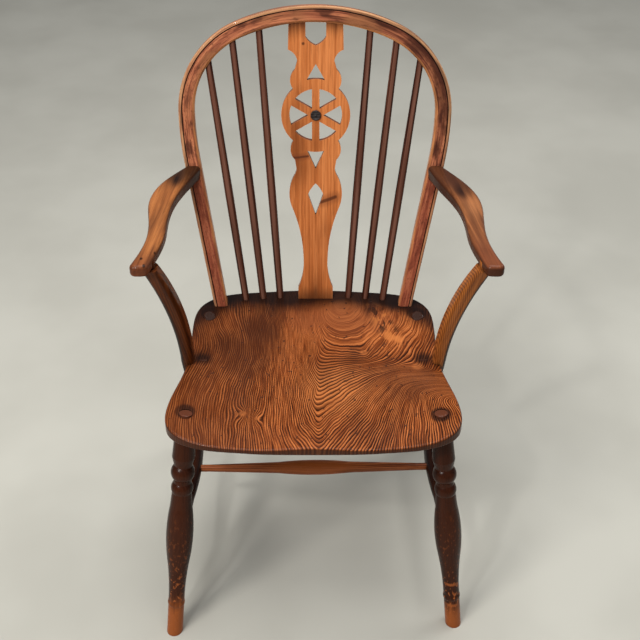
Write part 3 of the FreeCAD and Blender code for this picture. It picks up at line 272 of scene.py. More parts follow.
# Colours, as linear light
SOOT = (0.010, 0.004, 0.003)
DARK_BROWN = (0.050, 0.016, 0.008)
RED_BROWN = (0.170, 0.045, 0.018)
WORN_ORANGE = (0.360, 0.095, 0.022)
PALE_TAN = (0.520, 0.270, 0.130)
PALE_ORANGE = (0.620, 0.250, 0.090)
FLARE_ORANGE = (0.560, 0.190, 0.055)
TORN_ORANGE = (0.520, 0.165, 0.042)
SMOKED_BROWN = (0.090, 0.022, 0.006)
DULL_BROWN = (0.050, 0.012, 0.004)

# Light, middle and dark tones of each wood
SEAT_TONES = ((0.530, 0.164, 0.045), (0.210, 0.048, 0.010), (0.030, 0.007, 0.002))
LEFT_ARM_TONES = ((0.400, 0.142, 0.042), (0.270, 0.088, 0.025), (0.085, 0.026, 0.009))
RIGHT_ARM_TONES = ((0.330, 0.118, 0.042), (0.205, 0.068, 0.025), (0.060, 0.019, 0.008))
SPLAT_TONES = ((0.730, 0.250, 0.076), (0.530, 0.155, 0.040), (0.170, 0.042, 0.011))
BOW_TONES = ((0.560, 0.200, 0.092), (0.330, 0.098, 0.048), (0.060, 0.018, 0.011))
DARK_TONES = ((0.048, 0.012, 0.004), (0.021, 0.005, 0.002), (0.005, 0.002, 0.001))
STICK_TONES = ((0.130, 0.042, 0.023), (0.052, 0.015, 0.008), (0.008, 0.002, 0.002))
BROWN_TONES = ((0.480, 0.142, 0.050), (0.270, 0.074, 0.026), (0.045, 0.014, 0.005))
LEFT_SUPPORT_TONES = ((0.150, 0.038, 0.008), (0.060, 0.014, 0.003), (0.014, 0.004, 0.002))
RIGHT_SUPPORT_TONES = ((0.540, 0.180, 0.040), (0.330, 0.100, 0.022), (0.105, 0.028, 0.008))
WEDGE_TONES = ((0.300, 0.150, 0.060), (0.200, 0.090, 0.035), (0.070, 0.030, 0.014))
BUTTON_TONES = ((0.060, 0.052, 0.050), (0.028, 0.023, 0.022), SOOT)

# Shares of one ring: where it starts to darken, is darkest, and starts to lighten
RING_PALE = 0.20
RING_DARK = 0.84
RING_TURN = 0.88

# Vessels: how many to the metre across and along the grain, and the noise that shows them
PORES_ACROSS = 900
PORES_ALONG = 26
PORE_NOISE = (0.56, 0.66)


def ring_shade(phase):
    """Each ring's cut across: slow to darken, then quickly light again."""
    share = phase.fraction()
    return share.ease(RING_PALE, RING_DARK) * share.ease(RING_TURN, 1.0, 1.0, 0.0)


def pores(graph, place, seed, across=PORES_ACROSS, along=PORES_ALONG):
    """Short dark vessels that run with the grain."""
    return graph.noise(place, (across, across, along), (seed, seed, seed), detail=1.0).ease(*PORE_NOISE)


# Seat figure, in metres on the seat and in rings to the metre

FLAME_X = 0.006
FLAME_LEAN = 0.12
FLAME_BLUNT_Y = -0.06
FLAME_BLUNTING = 0.05
FLAME_TIP = 0.0035
FAN_PLACE = (0.178, 0.030)
FAN_RINGS = 26.0
FAN_CROWDED_ANGLE = 0.85
FAN_CROWDED_RINGS = 34
SWIRL_PLACE = (0.050, 0.128)
SWIRL_SQUASH = 0.72
SWIRL_EYE_AREA = 0.00015
SWIRL_EDGE = 0.150
SWIRL_RINGS = 150
SWIRL_PHASE = 8.6
SWIRL_FRONT_Y = (-0.045, 0.03)
SWIRL_FRONT_LEAN = 0.35
SIDE_RINGS = 285.0
SIDE_PHASE = 24.0
SIDE_FADE = -0.055
BULGE_Y = 0.015
BULGE_REACH = 0.075
BULGE_PUSH = 0.022
BULGE_SIDE = (-0.12, -0.01)

# Wavering of the rings: the noise's scales and offset, and how far it moves them
SIDE_WAVES = (((14, 8, 8), (3, 0, 0), 0.022), ((45, 20, 20), (1, 7, 0), 0.005))
LONG_WAVE = ((11, 11, 11), (9, 4, 2), 0.016)
RING_WAVE = ((60, 25, 25), (5, 5, 0), 0.8)

# Knots: place, reach and rings pushed aside
SEAT_KNOTS = (
    (-0.108, -0.141, 0.011, 3.2),
    (-0.084, -0.151, 0.009, -2.6),
    (0.082, 0.005, 0.012, -1.6),
    (0.143, 0.039, 0.018, 1.2),
    (0.167, -0.033, 0.018, -1.6),
    (-0.034, 0.066, 0.012, 2.0),
    (-0.008, 0.058, 0.010, -2.0),
)
KNOT_LENGTH = 1.6


def seat_rings(graph, place):
    """The seat's figure: lines down the left, a flame in the middle and a fan on the right."""
    x, y, z = graph.split(place)
    bulge = (y - BULGE_Y) / BULGE_REACH
    x = x - (bulge * bulge * -1).exponent() * x.ease(*BULGE_SIDE, 1.0, 0.0) * BULGE_PUSH
    for scales, offset, push in SIDE_WAVES:
        x = x + (graph.noise(place, scales, offset) - 0.5) * push
    scales, offset, push = LONG_WAVE
    y = y + (graph.noise(place, scales, offset) - 0.5) * push
    flame = y.most(0.0) * FLAME_LEAN + FLAME_X
    aside = x - flame
    blunt = (y - FLAME_BLUNT_Y).most(0.0) * FLAME_BLUNTING + FLAME_TIP
    away = (aside * aside + blunt * blunt).root()
    left = (away - aside) / 2
    right_x = flame + (away + aside) / 2
    angle = graph.math("ARCTAN2", FAN_PLACE[1] - y, FAN_PLACE[0] - right_x)
    fan = angle * FAN_RINGS + (angle - FAN_CROWDED_ANGLE).most(0.0) * FAN_CROWDED_RINGS
    swirl_x = (right_x - SWIRL_PLACE[0]) / SWIRL_SQUASH
    swirl_y = y - SWIRL_PLACE[1]
    out = (swirl_x * swirl_x + swirl_y * swirl_y + SWIRL_EYE_AREA).root()
    swirl = (out - SWIRL_EDGE) * SWIRL_RINGS + SWIRL_PHASE
    rear = (y + swirl_x * SWIRL_FRONT_LEAN).ease(*SWIRL_FRONT_Y)
    right = fan + (swirl - fan) * rear
    base = SIDE_PHASE - flame * SIDE_RINGS
    phase = base + left * SIDE_RINGS + (right - base) * (left / SIDE_FADE).exponent()
    for knot_x, knot_y, reach, push in SEAT_KNOTS:
        away_x = (x - knot_x) / reach
        away_y = (y - knot_y) / (reach * KNOT_LENGTH)
        phase = phase + (away_x * away_x * -1 - away_y * away_y).exponent() * push
    scales, offset, push = RING_WAVE
    return phase + graph.noise(place, scales, offset) * push


# Seat colour. A zone is its middle, its reach along each axis and its softness

SEAT_TOP = 0.40
THROUGH = 0.2
CALM_ZONE = ((0.095, 0.085, SEAT_TOP), (0.165, 0.105, THROUGH), 0.8)
EYE_ZONE = ((0.050, 0.122, SEAT_TOP), (0.065, 0.060, THROUGH), 0.9)
FLARE_ZONE = ((0.035, -0.085, SEAT_TOP), (0.085, 0.090, THROUGH), 0.9)
DULL_ZONE = ((-0.10, 0.04, SEAT_TOP), (0.13, 0.11, THROUGH), 0.9)
RED_ZONE = ((0.05, 0.10, SEAT_TOP), (0.15, 0.075, THROUGH), 0.9)
TEAR = ((0.100, 0.122, SEAT_TOP), (0.136, 0.030, SEAT_TOP), 0.026)
# Painted shade where each arm support runs down its notch in the seat's side: its place, reach and softness
SUPPORT_FOOT_X = 0.178
SUPPORT_FOOT_Y = -0.014
SUPPORT_FOOT_Z = 0.405
SUPPORT_FOOT_REACH = (0.024, 0.022, 0.03)
FOOT_SOFTNESS = 0.8
LEG_PEGS = ((-0.1945, -0.141), (0.1923, -0.148), (-0.1755, 0.099), (0.1738, 0.099))
PEG_TOP = 0.412
PEG_REACH = (0.019, 0.019, 0.03)
PEG_SOFTNESS = 0.35

# Noises of the seat: scales along each axis, offset and detail
PATCH_NOISE = ((12, 7, 7), (8, 1, 0), 3.0)
FINE_NOISE = ((1, 1, 1), (2, 2, 2), 2.0)
DASH_NOISE = ((2.3, 5, 5), (7, 3, 1), 1.0)
TORN_NOISE = ((75, 34, 34), (4, 4, 4), 4.0)
PIT_NOISE = ((150, 110, 110), (6, 2, 9), 1.0)
SEAT_GLOSS_NOISE = ((30, 30, 30), (0, 0, 0), 3.0)
LINES_TO_RING = 3.1
LINES_ALONG = 26
LINES_ACROSS = 4

# How strongly each mark of the seat shows
CALM_STRENGTH = 0.80
EYE_RING_STRENGTH = 0.92
EYE_LINE_STRENGTH = 0.6
DASH_STRENGTH = 0.55
FLARE_STRENGTH = 0.55
DULL_STRENGTH = 0.65
RIGHT_STRENGTH = 0.5
RED_STRENGTH = 0.55
KNOT_RIM_STRENGTH = 0.40
KNOT_SPOT_STRENGTH = 0.75
TORN_LIGHT_STRENGTH = 0.75
TORN_DARK_STRENGTH = 0.85
NOTCH_SHADE_STRENGTH = 0.85
PIT_STRENGTH = 0.8
SEAT_SHADE_STRENGTH = 0.8
RING_DEPTH = 0.6
PIT_DEPTH = 2.0

# A knot's pale rim and dark spot, as shares of its reach
KNOT_RIM = 0.75
KNOT_RIM_SOFTNESS = 0.6
KNOT_SPOT = 0.38
KNOT_SPOT_SOFTNESS = 0.8
KNOT_SPOT_BACK = 0.002

# Where along the seat's shades, from light to dark, the middle tone lies
SEAT_MIDDLE_TONE = 0.42

# Ranges of noise or place, each followed by the strength at its two ends where it isn't 0 and 1
PATCH_RINGS = (0.30, 0.68, 0.50, 1.05)
FINE_LINES = (0.35, 0.72, 0.0, 0.62)
DASHES = (0.60, 0.70)
PATCH_STAIN = (0.50, 0.72, 0.0, 0.45)
LEFT_STAIN_X = (-0.19, -0.03, 0.55, 0.0)
DULL_PATCHES = (0.38, 0.56)
RIGHT_STAIN_X = (-0.02, 0.10)
RIGHT_STAIN_Y = (-0.08, 0.05)
RIGHT_PATCHES = (0.42, 0.60)
TORN_LIGHT = (0.50, 0.60)
TORN_DARK = (0.38, 0.46, 1.0, 0.0)
PITS = (0.70, 0.74)
REAR_STAIN_Y = (0.090, 0.134, 0.0, 0.94)
CORNER_STAIN = (0.205, 0.270, 0.0, 0.86)
CORNER_LEAN = 0.9
RAGGEDNESS = 0.06
SEAT_RIM = (0.35, 0.88, 0.85, 0.0)
PEG_DIRT = (0.30, 0.60, 0.55, 0.90)
SEAT_GLOSS = (0.3, 0.7, 0.30, 0.46)
# Painted shade in the seat's corners: how far it looks
SEAT_SHADE_REACH = 0.018
SEAT_BUMP = 0.40
SEAT_COAT = 0.10
SEAT_COAT_ROUGHNESS = 0.14


def seat_material(obj):
    """Flat-sawn elm, dark at the rear, with knots, a tear and small dents, and painted shade on the rim, at
    the arm supports' feet and in corners.
    """
    light, middle, dark = SEAT_TONES
    graph = Graph("seat_elm")
    place = graph.place()
    x, y, z = graph.split(place)
    phase = seat_rings(graph, place)
    calm = graph.near(place, *CALM_ZONE)
    eye = graph.near(place, *EYE_ZONE)
    rings = ring_shade(phase) * (1.0 - calm * CALM_STRENGTH) * (1.0 - eye * EYE_RING_STRENGTH)
    patch = graph.noise(place, *PATCH_NOISE)
    follow = graph.join(phase * LINES_TO_RING, y * LINES_ALONG, x * LINES_ACROSS)
    fine = graph.noise(follow, *FINE_NOISE)
    dash = graph.noise(follow, *DASH_NOISE).ease(*DASHES)
    lines = fine.ease(*FINE_LINES) * (1.0 - eye * EYE_LINE_STRENGTH)
    share = rings * patch.ease(*PATCH_RINGS) + lines
    colour = graph.ramp(share, ((0.0, light), (SEAT_MIDDLE_TONE, middle), (1.0, dark)))
    colour = graph.mix(dash * DASH_STRENGTH, colour, dark)
    flare = graph.near(place, *FLARE_ZONE)
    colour = graph.mix(flare * (1.0 - rings) * FLARE_STRENGTH, colour, FLARE_ORANGE)
    colour = graph.mix(patch.ease(*PATCH_STAIN), colour, DARK_BROWN)
    colour = graph.mix(x.ease(*LEFT_STAIN_X), colour, SMOKED_BROWN)
    dull = graph.near(place, *DULL_ZONE) * patch.ease(*DULL_PATCHES)
    colour = graph.mix(dull * DULL_STRENGTH, colour, DULL_BROWN)
    right = x.ease(*RIGHT_STAIN_X) * y.ease(*RIGHT_STAIN_Y) * patch.ease(*RIGHT_PATCHES)
    colour = graph.mix(right * RIGHT_STRENGTH, colour, DARK_BROWN)
    colour = graph.mix(graph.near(place, *RED_ZONE) * RED_STRENGTH, colour, RED_BROWN)
    for knot_x, knot_y, reach, push in SEAT_KNOTS:
        spot_place = (knot_x, knot_y + KNOT_SPOT_BACK, SEAT_TOP)
        rim = graph.near(place, (knot_x, knot_y, SEAT_TOP), reach * KNOT_RIM, KNOT_RIM_SOFTNESS)
        spot = graph.near(place, spot_place, reach * KNOT_SPOT, KNOT_SPOT_SOFTNESS)
        colour = graph.mix(rim * KNOT_RIM_STRENGTH, colour, light)
        colour = graph.mix(spot * KNOT_SPOT_STRENGTH, colour, DARK_BROWN)
    tear = graph.stroke(place, *TEAR)
    torn = graph.noise(place, *TORN_NOISE)
    colour = graph.mix(tear * torn.ease(*TORN_LIGHT) * TORN_LIGHT_STRENGTH, colour, TORN_ORANGE)
    colour = graph.mix(tear * torn.ease(*TORN_DARK) * TORN_DARK_STRENGTH, colour, SOOT)
    # Painted shade at each arm support's foot, in its notch
    for foot_x in (-SUPPORT_FOOT_X, SUPPORT_FOOT_X):
        foot_place = (foot_x, SUPPORT_FOOT_Y, SUPPORT_FOOT_Z)
        foot = graph.near(place, foot_place, SUPPORT_FOOT_REACH, FOOT_SOFTNESS)
        colour = graph.mix(foot * NOTCH_SHADE_STRENGTH, colour, SOOT)
    pits = graph.noise(place, *PIT_NOISE).ease(*PITS)
    colour = graph.mix(pits * PIT_STRENGTH, colour, DARK_BROWN)
    ragged = (patch - 0.5) * RAGGEDNESS
    colour = graph.mix((y + ragged).ease(*REAR_STAIN_Y), colour, SOOT)
    corner = x.plain() + y * CORNER_LEAN
    colour = graph.mix((corner + ragged).ease(*CORNER_STAIN), colour, SOOT)
    # Painted shade: faces that turn from the top, the seat's rim, made darker
    colour = graph.mix(graph.facing((0, 0, 1)).ease(*SEAT_RIM), colour, DARK_BROWN)
    for peg_x, peg_y in LEG_PEGS:
        ring = graph.near(place, (peg_x, peg_y, PEG_TOP), PEG_REACH, PEG_SOFTNESS)
        colour = graph.mix(ring * patch.ease(*PEG_DIRT), colour, SOOT)
    # Painted shade in the corners where pieces meet, from ambient occlusion
    colour = graph.mix(graph.corner_shade(SEAT_SHADE_REACH) * SEAT_SHADE_STRENGTH, colour, SOOT)
    gloss = graph.noise(place, *SEAT_GLOSS_NOISE).ease(*SEAT_GLOSS)
    height = 1.0 - rings * RING_DEPTH - pits * PIT_DEPTH
    wood = graph.polish(colour, gloss, height, SEAT_BUMP, SEAT_COAT, SEAT_COAT_ROUGHNESS)
    wear_material(obj, wood)


# Pieces sawn or turned with the grain along their length

# Where a piece's heart lies beside it, in metres across it
PITH = (0.012, 0.035)

# Where along a wood's shades, from light to dark, the middle tone lies
WOOD_MIDDLE_TONE = 0.45

# How often each noise repeats to the metre, across the grain twice and along it
GRAIN_SCALES = (9, 9, 2.2)
STREAK_SCALES = (160, 160, 5)
CLOUD_SCALES = (14, 14, 5)
SHINE_SCALES = (60, 60, 20)

# Ranges of noise, each followed by the strength at its two ends
STREAKS = (0.35, 0.75, 0.0, 0.5)
CLOUDS = (0.45, 0.75)
SHINE = (0.3, 0.7)
STREAK_DEPTH = 0.5
PORE_STRENGTH = 0.35
# Painted shade in corners: how far it looks and how strongly it darkens
CORNER_SHADE_REACH = 0.010
CORNER_SHADE_STRENGTH = 0.75


def grain(graph, place, seed, rings=260, wander=0.02, pith=PITH, chevron=0.0):
    """Growth rings round a pith that lies beside the piece, or V shapes down its middle."""
    a, b, c = graph.split(place)
    low = graph.noise(place, GRAIN_SCALES, (seed, seed * 1.7, seed * 0.6))
    if chevron:
        return (b.plain() + c * chevron + low * wander) * rings
    a = a - pith[0]
    b = b - pith[1]
    return ((a * a + b * b).root() + low * wander) * rings


def plank(obj, name, tones, seed, ring_weight=0.5, cloud=0.4, marks=None, edge=0.0025, edge_light_and_wear=0.2,
          edge_tint=None, gloss=(0.26, 0.40), bump=0.25, coat=0.09, **figure):
    """Straight-grained wood: rings, streaks, pores, clouds of stain, its own marks, edges lighter from wear
    and painted highlight, and painted shade in corners.
    """
    light, middle, dark = tones
    graph = Graph(name)
    place = board_place(graph, obj)
    world = graph.place()
    rings = ring_shade(grain(graph, place, seed, **figure))
    line = graph.noise(place, STREAK_SCALES, (seed, -seed, seed), detail=3.0)
    share = rings * ring_weight + line.ease(*STREAKS)
    colour = graph.ramp(share, ((0.0, light), (WOOD_MIDDLE_TONE, middle), (1.0, dark)))
    tone = graph.noise(place, CLOUD_SCALES, (seed * 2, seed, -seed), detail=3.0)
    colour = graph.mix(tone.ease(*CLOUDS, 0.0, cloud), colour, dark)
    colour = graph.mix(pores(graph, place, seed) * PORE_STRENGTH, colour, dark)
    if marks:
        colour = marks(graph, world, colour, line, tone)
    # Edges lighter, partly worn and partly painted highlight
    colour = graph.mix(graph.lit_and_worn_edge(edge) * edge_light_and_wear, colour, edge_tint or middle)
    # Painted shade in the corners where pieces meet
    colour = graph.mix(graph.corner_shade(CORNER_SHADE_REACH) * CORNER_SHADE_STRENGTH, colour, SOOT)
    shine = graph.noise(place, SHINE_SCALES, (seed, 0, 0), detail=3.0).ease(*SHINE, *gloss)
    height = 1.0 - share * STREAK_DEPTH
    wear_material(obj, graph.polish(colour, shine, height, bump, coat))


# Splat marks: the cracks' two ends and width, and heights of its prong stain and of its darker foot

SPLAT_CRACKS = (
    ((-0.031, 0, 0.660), (-0.009, 0, 0.661), 0.0026),
    ((0.012, 0, 0.583), (0.036, 0, 0.592), 0.0042),
)
CRACK_SHADOW = 3.2
CRACK_WANDER = 0.010
CRACK_STRENGTH = 0.85
SHADOW_STRENGTH = 0.40
SPLAT_RAGGEDNESS = 0.03
PRONG_STAIN = (0.838, 0.874, 0.0, 0.85)
SPLAT_FOOT_DARK = (0.416, 0.440, 0.55, 0.0)
SPLAT_SPECK = (-0.016, 0.230, 0.836)
SPECK_REACH = 0.0035
SPECK_STRENGTH = 0.8
# Painted shade on the splat's faces that turn from the front
SPLAT_FRONT = (0, -1, 0.2)
SPLAT_SIDE_SHADE = (0.40, 0.90, 0.70, 0.0)


def splat_marks(graph, world, colour, line, tone):
    """Prong tops dark with polish, two cracks, a speck beside the notch, and painted shade on the faces
    that turn from the front.
    """
    x, y, z = graph.split(world)
    ragged = z + (line - 0.5) * SPLAT_RAGGEDNESS
    colour = graph.mix(ragged.ease(*PRONG_STAIN), colour, DARK_BROWN)
    # Darker towards the foot, just above the seat
    colour = graph.mix(ragged.ease(*SPLAT_FOOT_DARK), colour, DARK_BROWN)
    bent = graph.join(x, 0.0, z + (tone - 0.5) * CRACK_WANDER)
    for start, end, width in SPLAT_CRACKS:
        colour = graph.mix(graph.stroke(bent, start, end, width) * CRACK_STRENGTH, colour, DARK_BROWN)
        shadow = graph.stroke(bent, start, end, width * CRACK_SHADOW) * SHADOW_STRENGTH
        colour = graph.mix(shadow, colour, RED_BROWN)
    colour = graph.mix(graph.near(world, SPLAT_SPECK, SPECK_REACH) * SPECK_STRENGTH, colour, DARK_BROWN)
    # Painted shade on the faces that turn from the front
    sides = graph.facing(SPLAT_FRONT).ease(*SPLAT_SIDE_SHADE)
    return graph.mix(sides, colour, RED_BROWN)


# Arm marks, with places in metres and ranges of noise

# Painted shade on the arms' faces that turn from the top
ARM_SIDE_SHADE = (0.25, 0.80, 0.85, 0.0)
ARM_FLECKS = (0.50, 0.66)
ARM_FLECK_LINES = (0.35, 0.6)
ARM_RAGGEDNESS = 0.08
LEFT_FLECK_STRENGTH = 0.55
RIGHT_FLECK_STRENGTH = 0.50
DENT_STRENGTH = 0.9
RIGHT_PALE_STRENGTH = 0.50
LEFT_REAR_Y = (0.085, 0.150, 0.0, 0.88)
LEFT_REAR_LINES = (0.30, 0.62, 0.55, 1.0)
LEFT_REAR_ZONE = ((-0.216, 0.134, 0.652), (0.016, 0.034, 0.03), 0.9)
LEFT_HAND_Y = (-0.125, -0.05, 0.70, 0.0)
LEFT_HAND_BROWN = (0.200, 0.055, 0.020)
LEFT_DENTS = ((-0.2435, -0.089, 0.650), (-0.238, -0.105, 0.649), (-0.226, -0.072, 0.651))
DENT_REACH = (0.0028, 0.0045, 0.006)
RIGHT_REAR_Y = (0.070, 0.145, 0.0, 0.84)
RIGHT_REAR_LINES = (0.35, 0.55, 0.30, 1.0)
RIGHT_REAR_ZONE = ((0.232, 0.100, 0.652), (0.020, 0.034, 0.03), 0.9)
RIGHT_REAR_BROWN = (0.050, 0.016, 0.008)
RIGHT_PALE_ZONE = ((0.241, 0.050, 0.652), (0.028, 0.050, 0.03), 0.9)
RIGHT_PALE = (0.420, 0.165, 0.062)
RIGHT_HAND_Y = (-0.085, -0.01, 0.75, 0.0)
RIGHT_HAND_BROWN = (0.165, 0.045, 0.020)
RIGHT_SCORE = ((0.232, -0.098, 0.645), (0.226, -0.078, 0.650), 0.003)


def arm_flecks(line, tone, strength):
    """Small stains that follow the grain."""
    return tone.ease(*ARM_FLECKS, 0.0, strength) * line.ease(*ARM_FLECK_LINES)


def left_arm_marks(graph, world, colour, line, tone):
    """Dark at the bow, with painted shade on the faces that turn from the top and dents near the hand."""
    x, y, z = graph.split(world)
    stain = graph.near(world, *LEFT_REAR_ZONE) * line.ease(*LEFT_REAR_LINES)
    colour = graph.mix((y + (tone - 0.5) * ARM_RAGGEDNESS).ease(*LEFT_REAR_Y), colour, SOOT)
    colour = graph.mix(stain, colour, SOOT)
    # Painted shade on the faces that turn from the top
    colour = graph.mix(graph.facing((0, 0, 1)).ease(*ARM_SIDE_SHADE), colour, DARK_BROWN)
    colour = graph.mix(y.ease(*LEFT_HAND_Y), colour, LEFT_HAND_BROWN)
    colour = graph.mix(arm_flecks(line, tone, LEFT_FLECK_STRENGTH), colour, DARK_BROWN)
    for dent in LEFT_DENTS:
        colour = graph.mix(graph.near(world, dent, DENT_REACH) * DENT_STRENGTH, colour, SOOT)
    return colour


def right_arm_marks(graph, world, colour, line, tone):
    """A black stain near the bow, a pale patch before it, a red-brown hand and painted shade on the faces
    that turn from the top.
    """
    x, y, z = graph.split(world)
    stain = graph.near(world, *RIGHT_REAR_ZONE) * line.ease(*RIGHT_REAR_LINES)
    colour = graph.mix(graph.near(world, *RIGHT_PALE_ZONE) * RIGHT_PALE_STRENGTH, colour, RIGHT_PALE)
    colour = graph.mix((y + (tone - 0.5) * ARM_RAGGEDNESS).ease(*RIGHT_REAR_Y), colour, RIGHT_REAR_BROWN)
    colour = graph.mix(stain, colour, SOOT)
    colour = graph.mix(y.ease(*RIGHT_HAND_Y), colour, RIGHT_HAND_BROWN)
    colour = graph.mix(arm_flecks(line, tone, RIGHT_FLECK_STRENGTH), colour, DARK_BROWN)
    # Painted shade on the faces that turn from the top
    colour = graph.mix(graph.facing((0, 0, 1)).ease(*ARM_SIDE_SHADE), colour, DARK_BROWN)
    return graph.mix(graph.stroke(world, *RIGHT_SCORE) * DENT_STRENGTH, colour, SOOT)


# Support, leg, stick and stretcher marks, with heights in metres

SUPPORT_FORWARD = -0.25
SUPPORT_RAGGEDNESS = 0.3
SUPPORT_OUTER = (0.25, 0.62, 0.0, 0.92)
FLECK_SCALES = (260, 260, 130)
FLECK_STRENGTH = 0.8
FLECKS_ABOVE = 0.25
FOOT_WEAR = 0.88
FOOT_CLOUDS = 0.06
FOOT_STREAKS = 0.05
FRONT_LIT = (0.45, 0.95)
STICK_LIT = (0.80, 0.98)
CROSS_LIT = (0.0, 0.8)
CROSS_RAGGEDNESS = 0.08
FLECKS = (0.58, 0.68)
FLECK_TOP = 0.20
FLECK_END = 0.26
LEG_FRONT = (0, -1, 0.15)
LEG_SHEEN_LINES = (0.30, 0.62, 0.15, 0.60)
LEG_SHEEN_RED = (0.070, 0.016, 0.005)
WORN_BELOW = 0.022
WORN_ABOVE = 0.024
BAND_EDGE = (0.0012, 0.0040, 0.75, 0.0)
PLUG_Z = (0.392, 0.396)
FRONT_PLUG = (0.110, 0.034, 0.017)
REAR_PLUG = (0.030, 0.010, 0.005)
STICK_FRONT = (0, -1, 0.25)
STICK_LINES = (0.30, 0.65, 0.25, 0.85)
# Painted highlight down the sticks' fronts
STICK_HIGHLIGHT = (0.230, 0.100, 0.066)
CROSS_MIDDLE_X = (0.03, 0.11, 0.85, 0.0)
CROSS_TOP = (0, -0.4, 1)
CROSS_LINES = (0.25, 0.6, 0.35, 1.0)


def support_marks(sign):
    """The outer side of an arm support is black with old polish."""
    def marks(graph, world, colour, line, tone):
        outer = graph.facing((sign, SUPPORT_FORWARD, 0)) + (line - 0.5) * SUPPORT_RAGGEDNESS
        return graph.mix(outer.ease(*SUPPORT_OUTER), colour, SOOT)
    return marks


def leg_marks(foot_top, bands, wear, plug_colour):
    """Varnish worn off the foot and in flecks up the calf, a painted sheen down the front, and the tenon's
    plug seen in the seat.
    """
    def marks(graph, world, colour, line, tone):
        x, y, z = graph.split(world)
        front = graph.facing(LEG_FRONT).ease(*FRONT_LIT)
        # Painted sheen down the front
        colour = graph.mix(front * line.ease(*LEG_SHEEN_LINES) * wear, colour, LEG_SHEEN_RED)
        fleck = graph.noise(world, FLECK_SCALES, (wear, 2, 5), detail=2.0).ease(*FLECKS)
        reach = z.ease(foot_top, FLECK_TOP, 1.0, 0.0) + z.ease(FLECK_TOP, FLECK_END, FLECKS_ABOVE, 0.0)
        colour = graph.mix(fleck * reach * wear * FLECK_STRENGTH, colour, WORN_ORANGE)
        ragged = z + (tone - 0.5) * FOOT_CLOUDS + (line - 0.5) * FOOT_STREAKS
        worn = ragged.ease(foot_top - WORN_BELOW, foot_top + WORN_ABOVE, FOOT_WEAR, 0.0)
        colour = graph.mix(worn * wear, colour, WORN_ORANGE)
        for band in bands:
            rubbed = (z - band).plain().ease(*BAND_EDGE) * front
            colour = graph.mix(rubbed, colour, WORN_ORANGE)
        return graph.mix(z.ease(*PLUG_Z), colour, plug_colour)
    return marks


def stick_marks(graph, world, colour, line, tone):
    """A painted highlight stripe down the front."""
    front = graph.facing(STICK_FRONT).ease(*STICK_LIT)
    return graph.mix(front * line.ease(*STICK_LINES), colour, STICK_HIGHLIGHT)


def cross_marks(graph, world, colour, line, tone):
    """Rubbed orange over the swelled middle."""
    x, y, z = graph.split(world)
    middle = (x.plain() + (tone - 0.5) * CROSS_RAGGEDNESS).ease(*CROSS_MIDDLE_X)
    top = graph.facing(CROSS_TOP).ease(*CROSS_LIT)
    return graph.mix(middle * top * line.ease(*CROSS_LINES), colour, WORN_ORANGE)


# Bow, in the same values as its outline in the solid model

BOW_FOOT = (-0.0011, 0.117, 0.412)
BOW_RAKE = 14.0
BOW_LEAN = 0.6
BOW_HALF = 0.2036
BOW_WIDEST = 0.3318
BOW_FOOT_X = 0.1571
BOW_SIDE_RADIUS = 0.515
BOW_SHOULDER_RADIUS = 0.1385
BOW_TOP_RADIUS = 0.299
BOW_WIDTH = 0.0253
BOW_FOOT_WIDTH = 0.0225
BOW_BEAD = 0.0050
BOW_GROOVE = 0.0016
BOW_CHAMFER = 0.0030

# Bow colour: heights in metres, and ranges of noise with the strength at their two ends
BOW_STREAK_NOISE = ((330, 90, 7), (3, 1, 2), 4.0)
BOW_CLOUD_NOISE = ((40, 20, 16), (8, 3, 1), 3.0)
BOW_BLOTCH_NOISE = ((60, 30, 26), (2, 6, 4), 3.0)
BOW_PORES = (5.0, 800, 18)
BOW_PORE_STRENGTH = 0.5
LIMB_STRENGTH = 0.50
BOW_KNOT_STRENGTH = 0.85
BEAD_EDGE = (-0.0003, 0.0010)
BEAD_STRENGTH = 0.92
CHAMFER_EDGE = (-0.0006, 0.0010)
CHAMFER_STRENGTH = 0.85
GROOVE_SHARES = (0.35, 0.8)
GROOVE_SHADE_STRENGTH = 0.88
OUTSIDE_OFFSET = (0.0, 0.004)
# Painted shade in the bow's corners: how strongly it darkens
BOW_SHADE_STRENGTH = 0.8
BOW_STREAKS = (0.30, 0.74)
BOW_CROWN_Z = (0.66, 0.80)
CROWN_PATCHES = (0.36, 0.58, 0.75, 0.0)
CROWN_BROWN = (0.330, 0.130, 0.055)
RIGHT_SHOULDER_X = (0.05, 0.14)
RIGHT_SHOULDER_Z = (0.66, 0.76)
RIGHT_SHOULDER_BLOTCHES = (0.34, 0.56, 0.25, 0.85)
BLOTCHES = (0.52, 0.66, 0.0, 0.80)
LIMB_Z = (0.62, 0.66, 1.0, 0.0)
LIMB_RED = (0.330, 0.072, 0.038)
BOW_KNOT = ((-0.1515, 0.138, 0.497), (0.008, 0.02, 0.012), 0.8)
EDGE_WEAR_AND_HIGHLIGHT_LINES = (0.36, 0.62, 1.0, 0.35)
FRONT_FACE = (-0.2, 0.3)
OUTER_FACE = (-0.4, 0.25, 0.85, 0.0)
BOW_SHADE_REACH = 0.008
BOW_GLOSS = (0.3, 0.7, 0.22, 0.36)
BOW_BUMP = 0.25
BOW_COAT = 0.10


